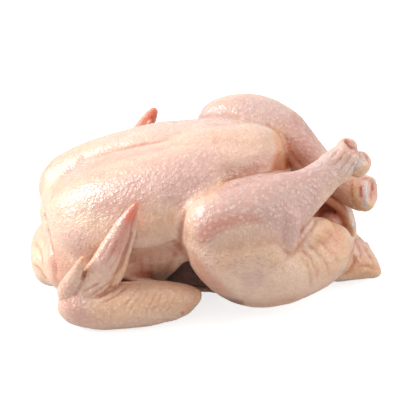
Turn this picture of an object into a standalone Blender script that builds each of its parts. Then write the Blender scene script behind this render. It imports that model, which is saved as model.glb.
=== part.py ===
"""A whole raw dressed bird lying on its back, breast up, as one closed solid.

Frame: metres, +Z up. The neck end points to -X, the tail to +X, and the bird lies on z = 0
with the middle of its box over the origin. One node, one solid: skin over bone and flesh.

The bird is put together the way a sculptor blocks it out. Each muscle or limb is a coarse
tube of cross-sections under Subdivision Surface. The tubes of one layer are fused with a
voxel Remesh and softened a little, then the next, crisper layer is laid on top.
"""
import math

import bmesh
import bpy
from mathutils import Matrix, Vector

# Driving dimensions
BIRD_LENGTH = 0.352          # front of the breast to the tip of the tail, along X
DRAWN_LENGTH = 352           # the same length in the units of the section tables below
UNIT = BIRD_LENGTH / DRAWN_LENGTH

FLOOR_Z = 1.2                # height in the tables that the back and wings are flattened at
CENTRE_X = 6.2               # middle of the bird's box in the tables, put over the origin
CENTRE_Y = 0.15

SOFT_VOXEL = 4.0             # grain of each fused layer, in table units
LIMB_VOXEL = 3.0
FINE_VOXEL = 2.6
TRIANGLE_SHARE = 0.075       # part of the fused faces that the finished solid keeps

SKIN_COLOUR = (0.74, 0.52, 0.42, 1.0)
SKIN_ROUGHNESS = 0.42

# Landmarks, (x, y, z) in table units; the near side is -Y
NEAR, FAR = -1, 1
NEAR_KNEE = (2, -86, 110)
NEAR_HOCK = (157, -18, 156)
FAR_KNEE = (-2, 80, 132)
FAR_HOCK = (173, 6, 97)
ELBOW = (6, -86, 26)
WRIST = (-120, -106, 34)
WING_TIP = (-51, -89, 130)
THUMB_TIP = (-102, -112, 84)
TAIL_TIP = (188, 0, 11)
FAR_WING_LIFT = 4            # the far hand stands steeper by this much at each section

# Cage of a tube of flesh
SIDES = 12
RING_FILL = 3 / (2 + math.cos(2 * math.pi / SIDES))   # subdivision draws a ring in by this much
ROUND_END = 0.55             # how far a rounded end stands out, in radii of its last ring
BLUNT_END = 0.25
UPRIGHT = (0, 0, 1)
TO_THE_REAR = (1, 0, 1)      # up direction for the calf, whose spine runs down to its heel
ALONG_BODY = (1, 0, 0.3)     # up direction for a hand that itself points upwards

# Sections are (x, y, z, half_width, rise, drop) and, where the section is turned, its roll
# in degrees. Rise and drop are the radii above and below the section's centre.
TORSO = [
    (-153, 0, 66, 38, 30, 34),
    (-145, 0, 68, 60, 34, 54),
    (-118, 0, 70, 74, 48, 66),
    (-78, 0, 74, 80, 60, 74),
    (-35, 0, 80, 82, 70, 80),
    (10, 0, 86, 78, 80, 86),
    (50, 0, 94, 62, 80, 90),
    (80, 0, 112, 42, 54, 56),
    (90, 0, 124, 32, 34, 36),
]
BREAST_LOBE = [
    (-154, 22, 83, 24, 23, 34),
    (-141, 34, 85, 31, 31, 38),
    (-100, 38, 95, 43, 42, 44),
    (-50, 38, 105, 46, 45, 46),
    (0, 32, 117, 46, 47, 46),
    (45, 24, 127, 38, 38, 46),
    (78, 18, 134, 26, 25, 34),
    (88, 14, 135, 20, 18, 28),
]
BREAST_SIDE = [
    (-140, 50, 70, 18, 22, 24),
    (-116, 60, 78, 27, 32, 34),
    (-70, 66, 88, 26, 32, 26),
    (-25, 66, 94, 22, 28, 20),
    (2, 62, 98, 16, 20, 16),
]
BREAST_TIP = [
    (28, 0, 134, 32, 36, 34),
    (48, 0, 134, 34, 39, 34),
    (66, 0, 134, 33, 37, 36),
    (79, 0, 134, 27, 31, 38),
    (87, 0, 132, 22, 24, 34),
]
BACK = [
    (-136, 0, 24, 48, 24, 24),
    (-60, 0, 25, 62, 30, 25),
    (10, 0, 26, 70, 30, 26),
    (60, 0, 26, 66, 30, 26),
    (96, 0, 28, 48, 28, 26),
]
ABDOMEN = [
    (60, 0, 50, 60, 52, 50),
    (95, 0, 48, 56, 50, 44),
    (125, 0, 54, 48, 44, 40),
    (144, 0, 56, 38, 32, 32),
    (152, 0, 56, 30, 24, 24),
]
THIGH = [
    (8, 84, 100, 22, 22, 26),
    (26, 80, 82, 32, 34, 40),
    (56, 70, 60, 40, 46, 50),
    (92, 60, 50, 40, 38, 39),
    (122, 49, 60, 31, 32, 32),
    (143, 38, 65, 19, 22, 24),
]
FAR_THIGH_LIFT = 8           # the far knee is drawn up higher; the lift fades towards the flank
SHOULDER = [
    (-142, 44, 34, 20, 26, 24),
    (-126, 62, 40, 24, 34, 30),
    (-100, 74, 42, 24, 36, 32),
    (-60, 70, 44, 20, 30, 32),
]
NECK_SKIN = [
    (-162, 30, 29, 14, 18, 19),
    (-162, 8, 28, 16, 24, 22),
    (-162, -16, 28, 17, 26, 23),
    (-155, -38, 27, 18, 26, 23),
    (-144, -54, 26, 18, 26, 21),
]
NEAR_FLAP = [
    (104, -44, 78, 14, 14, 14),
    (118, -42, 84, 13, 12, 16),
    (132, -38, 86, 12, 11, 16),
    (145, -34, 78, 12, 11, 16),
    (150, -26, 62, 12, 12, 14),
    (146, -16, 46, 10, 10, 10),
]
FAR_FLAP = [
    (108, 36, 92, 12, 10, 14),
    (126, 34, 90, 9, 8, 12),
    (142, 30, 82, 7, 7, 10),
    (154, 25, 67, 7, 7, 10),
    (158, 18, 51, 8, 7, 8),
    (153, 10, 40, 8, 8, 8),
]
VENT_HOLLOW = [
    (58, 0, 62, 16, 16, 16),
    (80, 0, 64, 26, 22, 20),
    (115, 0, 68, 27, 20, 20),
    (140, 0, 72, 24, 18, 20),
    (160, 0, 78, 24, 18, 18),
    (180, 0, 84, 22, 16, 16),
]
NEAR_DRUMSTICK = [
    (*NEAR_KNEE, 17, 20, 20, -30),
    (15, -85, 113, 26, 25, 28, -30),
    (38, -80, 117, 28, 28, 36, -30),
    (66, -71, 122, 24, 27, 38, -30),
    (86, -62, 127, 19, 25, 34, -30),
    (102, -53, 132, 15, 21, 25, -30),
    (116, -43, 138, 13, 17, 18, -25),
    (132, -32, 146, 14, 16, 16, -20),
    (144, -23, 154, 17, 21, 19, 0),
    (*NEAR_HOCK, 17, 20, 19, 0),
]
NEAR_CALF = [
    (56, -72, 122, 20, 30, 12),
    (70, -78, 111, 17, 33, 10),
    (82, -84, 100, 12, 29, 8),
    (90, -88, 92, 7, 17, 5),
    (95, -90, 87, 4, 6, 4),
]
FAR_DRUMSTICK = [
    (*FAR_KNEE, 20, 22, 22),
    (16, 78, 136, 30, 33, 34),
    (50, 74, 141, 33, 37, 40),
    (80, 64, 134, 27, 33, 44),
    (99, 52, 126, 20, 26, 40),
    (118, 36, 114, 16, 17, 24),
    (140, 22, 105, 14, 15, 16),
    (158, 12, 99, 16, 19, 19),
    (*FAR_HOCK, 15, 18, 19),
]
TAIL = [
    (130, 0, 26, 34, 24, 21),
    (150, 0, 26, 32, 26, 22),
    (166, 0, 21, 25, 23, 17),
    (180, 0, 15, 15, 13, 10),
    (*TAIL_TIP, 8, 6, 6),
]
UPPER_ARM = [
    (-110, 66, 46, 20, 20, 20),
    (-60, 78, 36, 20, 20, 22),
    (-6, 84, 30, 18, 18, 18),
]
FOREARM = [
    (*ELBOW, 12, 14, 14),
    (-10, -88, 24, 20, 20, 22),
    (-45, -96, 24, 22, 23, 23),
    (-82, -104, 23, 22, 23, 23),
    (-109, -106, 27, 20, 22, 25),
    (*WRIST, 14, 18, 20),
]
HAND = [
    (-111, -108, 34, 14, 16, 16),
    (-98, -106, 56, 9, 18, 17),
    (-81, -101, 80, 8, 19, 17),
    (-64, -94, 108, 6, 12, 11),
    (*WING_TIP, 5, 5, 5),
]
THUMB = [
    (-119, -108, 46, 8, 9, 9),
    (-111, -111, 66, 7, 9, 9),
    (*THUMB_TIP, 5, 6, 6),
]


def collection(name):
    """Return a new collection linked to the scene."""
    group = bpy.data.collections.new(name)
    bpy.context.scene.collection.children.link(group)
    return group


def add_object(name, mesh, group):
    """Link a mesh as a new object of a collection."""
    thing = bpy.data.objects.new(name, mesh)
    group.objects.link(thing)
    return thing


def on_side(sections, side):
    """Give sections that are written for +Y on the side asked for."""
    return [(s[0], side * s[1], *s[2:]) for s in sections]


def mirrored(sections):
    """Give the same limb on the other side of the bird."""
    return [(s[0], -s[1], *s[2:6], *[-roll for roll in s[6:]]) for s in sections]


def ring_of_flesh(cage, centre, along, up, section):
    """Add one cross-section's ring of corners, square to the tube's axis."""
    half_width, rise, drop = section[3:6]
    roll = math.radians(section[6]) if len(section) > 6 else 0.0
    side = Vector(up).cross(along).normalized()
    turn = Matrix.Rotation(roll, 3, along)
    side, top = turn @ side, turn @ along.cross(side).normalized()
    ring = []
    for k in range(SIDES):
        angle = 2 * math.pi * k / SIDES
        across, over = math.cos(angle), math.sin(angle)
        reach = side * across * half_width + top * over * (rise if over > 0 else drop)
        ring.append(cage.verts.new(centre + reach * RING_FILL))
    return ring


def close_end(cage, ring, away, stand):
    """Close a tube with a fan round a pole that stands out from its last ring."""
    middle = sum((corner.co for corner in ring), Vector()) / SIDES
    radius = sum((corner.co - middle).length for corner in ring) / SIDES
    pole = cage.verts.new(middle + away.normalized() * radius * stand)
    for k in range(SIDES):
        cage.faces.new((ring[k], ring[(k + 1) % SIDES], pole))


def flesh(name, sections, group, up=UPRIGHT, end=ROUND_END):
    """Make one muscle: a closed tube through its sections, smoothed by subdivision."""
    points = [Vector(s[:3]) for s in sections]
    last = len(points) - 1
    cage = bmesh.new()
    rings = []
    for i, section in enumerate(sections):
        along = (points[min(i + 1, last)] - points[max(i - 1, 0)]).normalized()
        rings.append(ring_of_flesh(cage, points[i], along, up, section))
    for first, second in zip(rings, rings[1:]):
        for k in range(SIDES):
            j = (k + 1) % SIDES
            cage.faces.new((first[k], first[j], second[j], second[k]))
    close_end(cage, rings[0], points[0] - points[1], ROUND_END)
    close_end(cage, rings[-1], points[-1] - points[-2], end)
    bmesh.ops.recalc_face_normals(cage, faces=cage.faces)
    mesh = bpy.data.meshes.new(name)
    cage.to_mesh(mesh)
    cage.free()
    muscle = add_object(name, mesh, group)
    soften = muscle.modifiers.new("soften", "SUBSURF")
    soften.levels = soften.render_levels = 2
    return muscle


def evaluated_mesh(thing):
    """Return an object's mesh with its modifiers applied, and remove the object."""
    bpy.context.view_layer.update()
    seen = thing.evaluated_get(bpy.context.evaluated_depsgraph_get())
    mesh = bpy.data.meshes.new_from_object(seen)
    bpy.data.objects.remove(thing)
    return mesh


def fuse(name, pieces, group, voxel, rounds):
    """Fuse pieces that overlap into one skin, softened by some rounds of smoothing."""
    bpy.context.view_layer.update()
    joined = bmesh.new()
    for piece in pieces:
        joined.from_mesh(evaluated_mesh(piece))
    mesh = bpy.data.meshes.new(name)
    joined.to_mesh(mesh)
    joined.free()
    skin = add_object(name, mesh, group)
    weld = skin.modifiers.new("fuse", "REMESH")
    weld.mode = "VOXEL"
    weld.voxel_size = voxel
    smooth = skin.modifiers.new("smooth", "SMOOTH")
    smooth.factor = 0.5
    smooth.iterations = rounds
    return add_object(name, evaluated_mesh(skin), group)


def hide_cutter(cutter):
    """Mark an object as a cutter, which is no part of the bird."""
    cutter.hide_render = True
    cutter.display_type = "WIRE"


def cut(thing, cutter):
    """Take a cutter's shape out of an object with a live Boolean."""
    hide_cutter(cutter)
    carve = thing.modifiers.new("cut", "BOOLEAN")
    carve.operation = "DIFFERENCE"
    carve.object = cutter


def torso_pieces(group):
    """The soft layer: breast, back, belly, thighs and the skin of the neck."""
    pieces = [
        flesh("torso", TORSO, group),
        flesh("back", BACK, group),
        flesh("abdomen", ABDOMEN, group),
        flesh("neck_skin", NECK_SKIN, group),
    ]
    steps = len(THIGH) - 1
    for side in (NEAR, FAR):
        lift = FAR_THIGH_LIFT if side == FAR else 0
        thigh = [(x, side * y, z + lift * (1 - i / steps), *radii)
                 for i, (x, y, z, *radii) in enumerate(THIGH)]
        pieces += [
            flesh("breast_lobe", on_side(BREAST_LOBE, side), group),
            flesh("breast_side", on_side(BREAST_SIDE, side), group),
            flesh("shoulder", on_side(SHOULDER, side), group),
            flesh("thigh", thigh, group),
        ]
    return pieces


def leg_pieces(group):
    """The limb layer: both drumsticks, the tip of the breast and the tail."""
    return [
        flesh("near_drumstick", NEAR_DRUMSTICK, group),
        flesh("near_calf", NEAR_CALF, group, up=TO_THE_REAR),
        flesh("far_drumstick", FAR_DRUMSTICK, group, end=BLUNT_END),
        flesh("breast_tip", BREAST_TIP, group),
        flesh("tail", TAIL, group),
    ]


def wing_pieces(group):
    """The fine layer: both wings, folded flat with the hand pointing back and up."""
    far_hand = [(x - 6, y + 2, z + FAR_WING_LIFT * (i + 1), *radii)
                for i, (x, y, z, *radii) in enumerate(mirrored(HAND))]
    pieces = [
        flesh("near_forearm", FOREARM, group),
        flesh("near_hand", HAND, group, up=ALONG_BODY),
        flesh("near_thumb", THUMB, group, up=ALONG_BODY),
        flesh("far_forearm", mirrored(FOREARM), group),
        flesh("far_hand", far_hand, group, up=ALONG_BODY),
        flesh("far_thumb", mirrored(THUMB), group, up=ALONG_BODY),
    ]
    for side in (NEAR, FAR):
        pieces.append(flesh("upper_arm", on_side(UPPER_ARM, side), group))
    return pieces


def sculpt(group, cutters):
    """Fuse the layers one on another, with the vent hollow cut before the legs cross it."""
    body = fuse("body", torso_pieces(group), group, SOFT_VOXEL, 8)
    flaps = [flesh("near_flap", NEAR_FLAP, group), flesh("far_flap", FAR_FLAP, group)]
    body = fuse("body", [body, *flaps], group, LIMB_VOXEL, 3)
    cut(body, flesh("vent_hollow", VENT_HOLLOW, cutters))
    body = fuse("body", [body, *leg_pieces(group)], group, LIMB_VOXEL, 3)
    return fuse("whole_turkey", [body, *wing_pieces(group)], group, FINE_VOXEL, 2)


def floor_block(cutters):
    """The block under the bird that flattens what it lies on."""
    size = 3 * DRAWN_LENGTH * UNIT
    bpy.ops.mesh.primitive_cube_add(size=size, location=(0, 0, -size / 2))
    block = bpy.context.object
    block.name = "floor_block"
    for group in block.users_collection:
        group.objects.unlink(block)
    cutters.objects.link(block)
    return block


def skin_material():
    """Pale raw skin with a wet sheen."""
    skin = bpy.data.materials.new("raw_skin")
    skin.use_nodes = True
    shader = skin.node_tree.nodes["Principled BSDF"]
    shader.inputs["Base Color"].default_value = SKIN_COLOUR
    shader.inputs["Roughness"].default_value = SKIN_ROUGHNESS
    shader.inputs["Metallic"].default_value = 0.0
    return skin


def main():
    """Build the bird and return its object."""
    for old in list(bpy.data.objects):
        bpy.data.objects.remove(old)
    bird_group = collection("whole_turkey")
    cutters = collection("cutters")
    bird = sculpt(bird_group, cutters)
    place = Matrix.Scale(UNIT, 4) @ Matrix.Translation((-CENTRE_X, -CENTRE_Y, -FLOOR_Z))
    bird.data.transform(place)
    thin = bird.modifiers.new("fewer_faces", "DECIMATE")
    thin.ratio = TRIANGLE_SHARE
    cut(bird, floor_block(cutters))
    bird.data.materials.append(skin_material())
    bird.data.shade_smooth()
    bird.name = "whole_turkey"
    return bird


if __name__ == "__main__":
    main()
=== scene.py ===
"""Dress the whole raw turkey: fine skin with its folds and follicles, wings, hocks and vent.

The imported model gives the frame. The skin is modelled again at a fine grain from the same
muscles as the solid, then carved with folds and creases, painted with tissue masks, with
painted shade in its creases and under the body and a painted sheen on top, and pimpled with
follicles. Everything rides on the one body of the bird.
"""
from __future__ import annotations

import logging
import math
from dataclasses import dataclass, field
from enum import Enum

import bmesh
import bpy
import numpy as np
from mathutils import Matrix, Vector, noise
from mathutils.bvhtree import BVHTree

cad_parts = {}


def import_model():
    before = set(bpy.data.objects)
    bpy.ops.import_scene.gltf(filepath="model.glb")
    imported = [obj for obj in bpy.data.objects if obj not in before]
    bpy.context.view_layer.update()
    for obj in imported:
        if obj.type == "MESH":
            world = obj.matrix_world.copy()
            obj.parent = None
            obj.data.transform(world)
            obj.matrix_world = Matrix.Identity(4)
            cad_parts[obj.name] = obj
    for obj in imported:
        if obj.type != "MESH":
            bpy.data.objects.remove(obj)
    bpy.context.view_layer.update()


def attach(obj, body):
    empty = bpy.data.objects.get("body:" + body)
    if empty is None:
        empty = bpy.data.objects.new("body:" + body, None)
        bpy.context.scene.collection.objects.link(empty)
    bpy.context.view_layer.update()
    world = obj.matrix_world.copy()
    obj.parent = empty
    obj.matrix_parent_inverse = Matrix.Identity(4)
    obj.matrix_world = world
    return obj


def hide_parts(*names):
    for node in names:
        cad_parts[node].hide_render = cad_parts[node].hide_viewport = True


log = logging.getLogger("turkey")

MM = 0.001
BODY = "root"
NODE = "whole_turkey"
PLACE = Vector((-6.2, -0.15, -1.2))      # from the section tables' origin to the model's, in mm
NEAR, FAR = -1, 1

Section = tuple[float, ...]
Pixels = tuple[tuple[float, float], ...]
Swellings = tuple[tuple[float, float, float], ...]     # size and depth in mm, and the pattern's shift


# --------------------------------------------------------------------------- muscles

SIDES = 12
RING_FILL = 3 / (2 + math.cos(2 * math.pi / SIDES))   # subdivision draws a ring in by this much
ROUND_END = 0.55
BLUNT_END = 0.25
SOFTEN_LEVELS = 2
UPRIGHT = (0.0, 0.0, 1.0)
TO_THE_REAR = (1.0, 0.0, 1.0)
ALONG_BODY = (1.0, 0.0, 0.3)


@dataclass(frozen=True)
class Muscle:
    """A tube of flesh through cross-sections (x, y, z, half_width, rise, drop[, roll])."""

    name: str
    sections: tuple[Section, ...]
    up: tuple[float, float, float] = UPRIGHT
    end: float = ROUND_END

    def on_side(self, side: int) -> Muscle:
        """Return the muscle, written for +Y, on the side asked for."""
        placed = tuple((s[0], side * s[1], *s[2:]) for s in self.sections)
        return Muscle(self.name, placed, self.up, self.end)

    def mirrored(self) -> Muscle:
        """Return the same muscle on the other side of the bird."""
        turned = tuple((s[0], -s[1], *s[2:6], *(-roll for roll in s[6:])) for s in self.sections)
        return Muscle(self.name, turned, self.up, self.end)

    def moved(self, shift: tuple[float, float, float], lift: float = 0.0) -> Muscle:
        """Return the muscle shifted, and raised a further lift at each section.

        Args:
            shift: how far every section moves, in mm.
            lift: how much more each section rises than the one before it, in mm.

        Returns:
            The moved muscle.
        """
        dx, dy, dz = shift
        placed = tuple((x + dx, y + dy, z + dz + lift * (i + 1), *rest)
                       for i, (x, y, z, *rest) in enumerate(self.sections))
        return Muscle(self.name, placed, self.up, self.end)

    def _ring(self, cage: bmesh.types.BMesh, centre: Vector, along: Vector, section: Section) -> list:
        """Add one cross-section's ring of corners, square to the tube's axis.

        Args:
            cage: the mesh to add to.
            centre: middle of the ring, in mm.
            along: direction of the axis.
            section: the cross-section.

        Returns:
            The ring's corners in order.
        """
        half_width, rise, drop = section[3:6]
        roll = math.radians(section[6]) if len(section) > 6 else 0.0
        side = Vector(self.up).cross(along).normalized()
        turn = Matrix.Rotation(roll, 3, along)
        side, top = turn @ side, turn @ along.cross(side).normalized()
        ring = []
        for k in range(SIDES):
            angle = 2 * math.pi * k / SIDES
            across, over = math.cos(angle), math.sin(angle)
            reach = side * across * half_width + top * over * (rise if over > 0 else drop)
            ring.append(cage.verts.new(centre + reach * RING_FILL))
        return ring

    @staticmethod
    def _close(cage: bmesh.types.BMesh, ring: list, away: Vector, stand: float) -> None:
        """Close a tube with a fan round a pole beyond its last ring.

        Args:
            cage: the mesh to add to.
            ring: the last ring's corners.
            away: direction out of the tube.
            stand: how far the pole stands off, as a part of the ring's radius.
        """
        middle = sum((corner.co for corner in ring), Vector()) / SIDES
        radius = sum((corner.co - middle).length for corner in ring) / SIDES
        pole = cage.verts.new(middle + away.normalized() * radius * stand)
        for k in range(SIDES):
            cage.faces.new((ring[k], ring[(k + 1) % SIDES], pole))

    def build(self) -> bpy.types.Object:
        """Build the muscle, in mm, as a smooth closed form."""
        points = [Vector(s[:3]) for s in self.sections]
        last = len(points) - 1
        cage = bmesh.new()
        rings = []
        for i, section in enumerate(self.sections):
            along = (points[min(i + 1, last)] - points[max(i - 1, 0)]).normalized()
            rings.append(self._ring(cage, points[i], along, section))
        for first, second in zip(rings, rings[1:]):
            for k in range(SIDES):
                j = (k + 1) % SIDES
                cage.faces.new((first[k], first[j], second[j], second[k]))
        self._close(cage, rings[0], points[0] - points[1], ROUND_END)
        self._close(cage, rings[-1], points[-1] - points[-2], self.end)
        bmesh.ops.recalc_face_normals(cage, faces=cage.faces)
        mesh = bpy.data.meshes.new(self.name)
        cage.to_mesh(mesh)
        cage.free()
        muscle = add_object(self.name, mesh)
        soften = muscle.modifiers.new("soften", "SUBSURF")
        soften.levels = soften.render_levels = SOFTEN_LEVELS
        return muscle


def add_object(name: str, mesh: bpy.types.Mesh) -> bpy.types.Object:
    """Link a mesh to the scene as a new object at the origin."""
    thing = bpy.data.objects.new(name, mesh)
    bpy.context.scene.collection.objects.link(thing)
    return thing


def settle(thing: bpy.types.Object) -> bpy.types.Mesh:
    """Return an object's mesh with its modifiers applied, and remove the object.

    Args:
        thing: the object, which is used up.

    Returns:
        The plain mesh.
    """
    bpy.context.view_layer.update()
    seen = thing.evaluated_get(bpy.context.evaluated_depsgraph_get())
    mesh = bpy.data.meshes.new_from_object(seen)
    bpy.data.objects.remove(thing)
    return mesh


def fuse(name: str, parts: list, voxel: float, rounds: int, finer: int = 0) -> bpy.types.Object:
    """Fuse muscles and earlier layers into one softened skin.

    Args:
        name: name of the new object.
        parts: muscles to build, or objects, which are used up.
        voxel: grain of the fused skin, in mm.
        rounds: rounds of smoothing afterwards.
        finer: levels of subdivision at the end, for a coarse layer.

    Returns:
        The fused object, in mm.
    """
    built = [part.build() if isinstance(part, Muscle) else part for part in parts]
    joined = bmesh.new()
    for piece in built:
        joined.from_mesh(settle(piece))
    mesh = bpy.data.meshes.new(name)
    joined.to_mesh(mesh)
    joined.free()
    skin = add_object(name, mesh)
    weld = skin.modifiers.new("fuse", "REMESH")
    weld.mode = "VOXEL"
    weld.voxel_size = voxel
    weld.use_smooth_shade = True
    smooth = skin.modifiers.new("smooth", "SMOOTH")
    smooth.factor = 0.5
    smooth.iterations = rounds
    if finer:
        split = skin.modifiers.new("finer", "SUBSURF")
        split.levels = split.render_levels = finer
    return add_object(name, settle(skin))


@dataclass
class Torso:
    """Breast, back, belly, thighs and neck skin: the soft layer of the bird."""

    soft_voxel: float = 4.0
    soft_rounds: int = 8
    far_thigh_lift: float = 8.0
    far_bridge_lift: float = 14.0
    trunk: Muscle = Muscle("torso", (
        (-153, 8, 66, 34, 30, 34), (-144, 6, 68, 55, 34, 54), (-118, 2, 70, 71, 48, 66),
        (-78, 0, 74, 76, 60, 74), (-35, 0, 80, 75, 70, 80), (10, 0, 86, 72, 80, 86),
        (50, 0, 94, 62, 80, 90), (72, 0, 110, 44, 56, 58), (80, 0, 120, 34, 38, 40)), end=BLUNT_END)
    near_lobe: Muscle = Muscle("near_lobe", (
        (-139, -28, 78, 20, 22, 32), (-127, -39, 84, 30, 31, 38), (-98, -39, 95, 42, 42, 44),
        (-50, -38, 105, 46, 45, 46), (0, -32, 117, 46, 47, 46), (45, -24, 127, 38, 38, 46),
        (66, -20, 133, 31, 29, 40), (77, -18, 136, 26, 23, 36)), end=BLUNT_END)
    far_lobe: Muscle = Muscle("far_lobe", (
        (-160, 14, 82, 24, 24, 34), (-145, 30, 86, 32, 32, 40), (-100, 37, 95, 43, 42, 44),
        (-50, 38, 105, 46, 45, 46), (0, 32, 117, 46, 47, 46), (45, 24, 127, 38, 38, 46),
        (66, 20, 133, 31, 29, 40), (77, 18, 136, 26, 23, 36)), end=BLUNT_END)
    breast_side: Muscle = Muscle("breast_side", (
        (-140, 50, 70, 18, 22, 24), (-116, 60, 78, 27, 32, 34), (-70, 66, 88, 26, 32, 26),
        (-25, 66, 94, 22, 28, 20), (2, 62, 98, 16, 20, 16)))
    near_side_shift: tuple[float, float, float] = (7, 0, 0)
    breast_tip: Muscle = Muscle("breast_tip", (
        (-40, 0, 112, 12, 38, 30), (-8, 0, 124, 20, 38, 32), (28, 0, 133, 30, 37, 34),
        (48, 0, 134, 34, 39, 34), (62, 0, 134, 34, 37, 36), (71, 0, 134, 31, 33, 38),
        (77, 0, 133, 27, 28, 36)), end=BLUNT_END)
    back: Muscle = Muscle("back", (
        (-136, 0, 24, 48, 24, 24), (-60, 0, 25, 56, 30, 28), (10, 0, 26, 58, 30, 34),
        (60, 0, 26, 62, 30, 33), (96, 0, 28, 48, 28, 28)))
    abdomen: Muscle = Muscle("abdomen", (
        (60, 0, 50, 60, 52, 50), (95, 0, 48, 56, 50, 44), (125, 0, 54, 48, 44, 40),
        (144, 0, 56, 38, 32, 32), (152, 0, 56, 30, 24, 24)))
    thigh: Muscle = Muscle("thigh", (
        (8, 84, 100, 22, 22, 26), (26, 80, 82, 32, 34, 40), (56, 70, 60, 40, 46, 50),
        (92, 60, 50, 40, 38, 39), (122, 49, 60, 31, 32, 32), (143, 38, 65, 19, 22, 24)))
    bridge: Muscle = Muscle("bridge", (
        (2, 84, 94, 16, 18, 20), (22, 89, 88, 21, 22, 22), (45, 90, 86, 22, 22, 22),
        (66, 87, 86, 20, 20, 20), (84, 83, 87, 15, 16, 16)))
    shoulder: Muscle = Muscle("shoulder", (
        (-142, 44, 34, 20, 26, 24), (-126, 62, 40, 24, 34, 30),
        (-100, 72, 42, 24, 34, 32), (-60, 62, 40, 16, 24, 28)))
    neck_skin: Muscle = Muscle("neck_skin", (
        (-162, 30, 29, 14, 18, 19), (-162, 8, 28, 16, 24, 22), (-162, -16, 28, 17, 26, 23),
        (-155, -38, 27, 18, 26, 23), (-144, -54, 26, 18, 26, 21)))
    upper_arm: Muscle = Muscle("upper_arm", (
        (-110, 66, 40, 16, 16, 16), (-66, 70, 26, 14, 14, 16), (-26, 80, 24, 12, 12, 14)))

    def layer(self, roots: list[Muscle]) -> bpy.types.Object:
        """Fuse the soft layer, with the roots of the limbs under it.

        Args:
            roots: the thick parts of the drumsticks.

        Returns:
            The fused layer, in mm.
        """
        far_thigh = self.thigh.on_side(FAR)
        steps = len(far_thigh.sections) - 1
        lift = self.far_thigh_lift
        far_thigh = far_thigh.moved((0, 0, lift * (1 + 1 / steps)), -lift / steps)
        parts = [*roots, self.trunk, self.back, self.abdomen, self.neck_skin, self.near_lobe, self.far_lobe,
                 self.breast_tip, self.thigh.on_side(NEAR), far_thigh, self.bridge.on_side(NEAR),
                 self.bridge.on_side(FAR).moved((0, 0, self.far_bridge_lift))]
        parts += [self.breast_side.on_side(NEAR).moved(self.near_side_shift), self.breast_side,
                  self.shoulder.on_side(NEAR), self.shoulder]
        return fuse("soft_layer", parts, self.soft_voxel, self.soft_rounds, finer=1)


@dataclass
class Vent:
    """The open hollow between tail and hocks, and the flaps of fat round it."""

    voxel: float = 2.4
    rounds: int = 3
    mouth: float = 150.0           # where the hollow opens, along the body
    end_room: float = 10.0         # how far past the hollow's inner end its tint may reach
    near_flap: Muscle = Muscle("near_flap", (
        (104, -44, 78, 14, 14, 14), (118, -42, 82, 13, 12, 16), (130, -38, 81, 12, 10, 16),
        (141, -34, 73, 12, 11, 16), (147, -26, 58, 12, 12, 14), (145, -16, 44, 10, 10, 10)))
    far_flap: Muscle = Muscle("far_flap", (
        (108, 36, 92, 12, 10, 14), (126, 34, 90, 9, 8, 12), (142, 30, 82, 7, 7, 10),
        (154, 25, 67, 7, 7, 10), (158, 18, 51, 8, 7, 8), (153, 10, 40, 8, 8, 8)))
    flank_web: Muscle = Muscle("flank_web", (
        (84, -70, 84, 16, 16, 20), (100, -67, 86, 15, 18, 20), (114, -58, 88, 14, 18, 18),
        (128, -47, 88, 12, 14, 16)))
    far_rim: Muscle = Muscle("far_rim", (
        (116, 27, 90, 7, 7, 7), (130, 22, 85, 7, 6, 6), (144, 18, 79, 6, 6, 7), (153, 15, 68, 6, 6, 7),
        (156, 12, 55, 5, 5, 6)))
    lump: Muscle = Muscle("lump", (
        (128, 20, 62, 10, 9, 9), (136, 16, 61, 10, 9, 9), (143, 13, 58, 7, 7, 7)))
    wall_top: float = 92.0         # height where the hollow's tint fades out
    wall_fade: float = 10.0
    rim_start: float = 0.98        # where the tint starts to fade, as a part of the hollow's radius
    rim_fade: float = 0.25
    hollow: Muscle = Muscle("vent_hollow", (
        (58, 0, 62, 16, 16, 16), (80, 0, 64, 26, 22, 20), (100, 0, 66, 27, 28, 20),
        (118, 0, 70, 28, 42, 22), (140, 0, 74, 25, 46, 22), (160, 0, 80, 24, 40, 18),
        (180, 0, 84, 22, 36, 16)))

    def inside(self, points: np.ndarray) -> np.ndarray:
        """Say how far each point lies in the hollow, from 0 on the skin to 1 on its walls.

        Args:
            points: places in the section tables' units, one row each.

        Returns:
            One share for each point.
        """
        stations = np.array([section[:6] for section in self.hollow.sections])
        middle, half_width, rise, drop = (
            np.interp(points[:, 0], stations[:, 0], stations[:, k]) for k in (2, 3, 4, 5))
        over = points[:, 2] - middle
        reach = np.hypot(points[:, 1] / half_width, over / np.where(over > 0, rise, drop))
        within = (points[:, 0] > stations[0, 0] - self.end_room) & (points[:, 0] < self.mouth)
        below = 1 - smoothstep(self.wall_fade, points[:, 2] - self.wall_top)
        return np.where(within, 1 - smoothstep(self.rim_fade, reach - self.rim_start), 0) * below

    def open(self, body: bpy.types.Object) -> bpy.types.Object:
        """Add the flaps to the body and cut the hollow.

        Args:
            body: the soft layer, which is used up.

        Returns:
            The body with its open vent, in mm.
        """
        flaps = [self.near_flap, self.far_flap, self.flank_web]
        body = fuse("with_flaps", [body, *flaps], self.voxel, self.rounds)
        cutter = self.hollow.build()
        carve = body.modifiers.new("hollow", "BOOLEAN")
        carve.operation = "DIFFERENCE"
        carve.object = cutter
        mesh = settle(body)
        bpy.data.objects.remove(cutter)
        return add_object("with_hollow", mesh)


@dataclass(frozen=True)
class Cut:
    """A flat cut through a limb, a little dished, in the tables' units."""

    centre: tuple[float, float, float]
    facing: tuple[float, float, float]
    dish: float
    reach: float             # how far round its centre the cut takes flesh away


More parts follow.
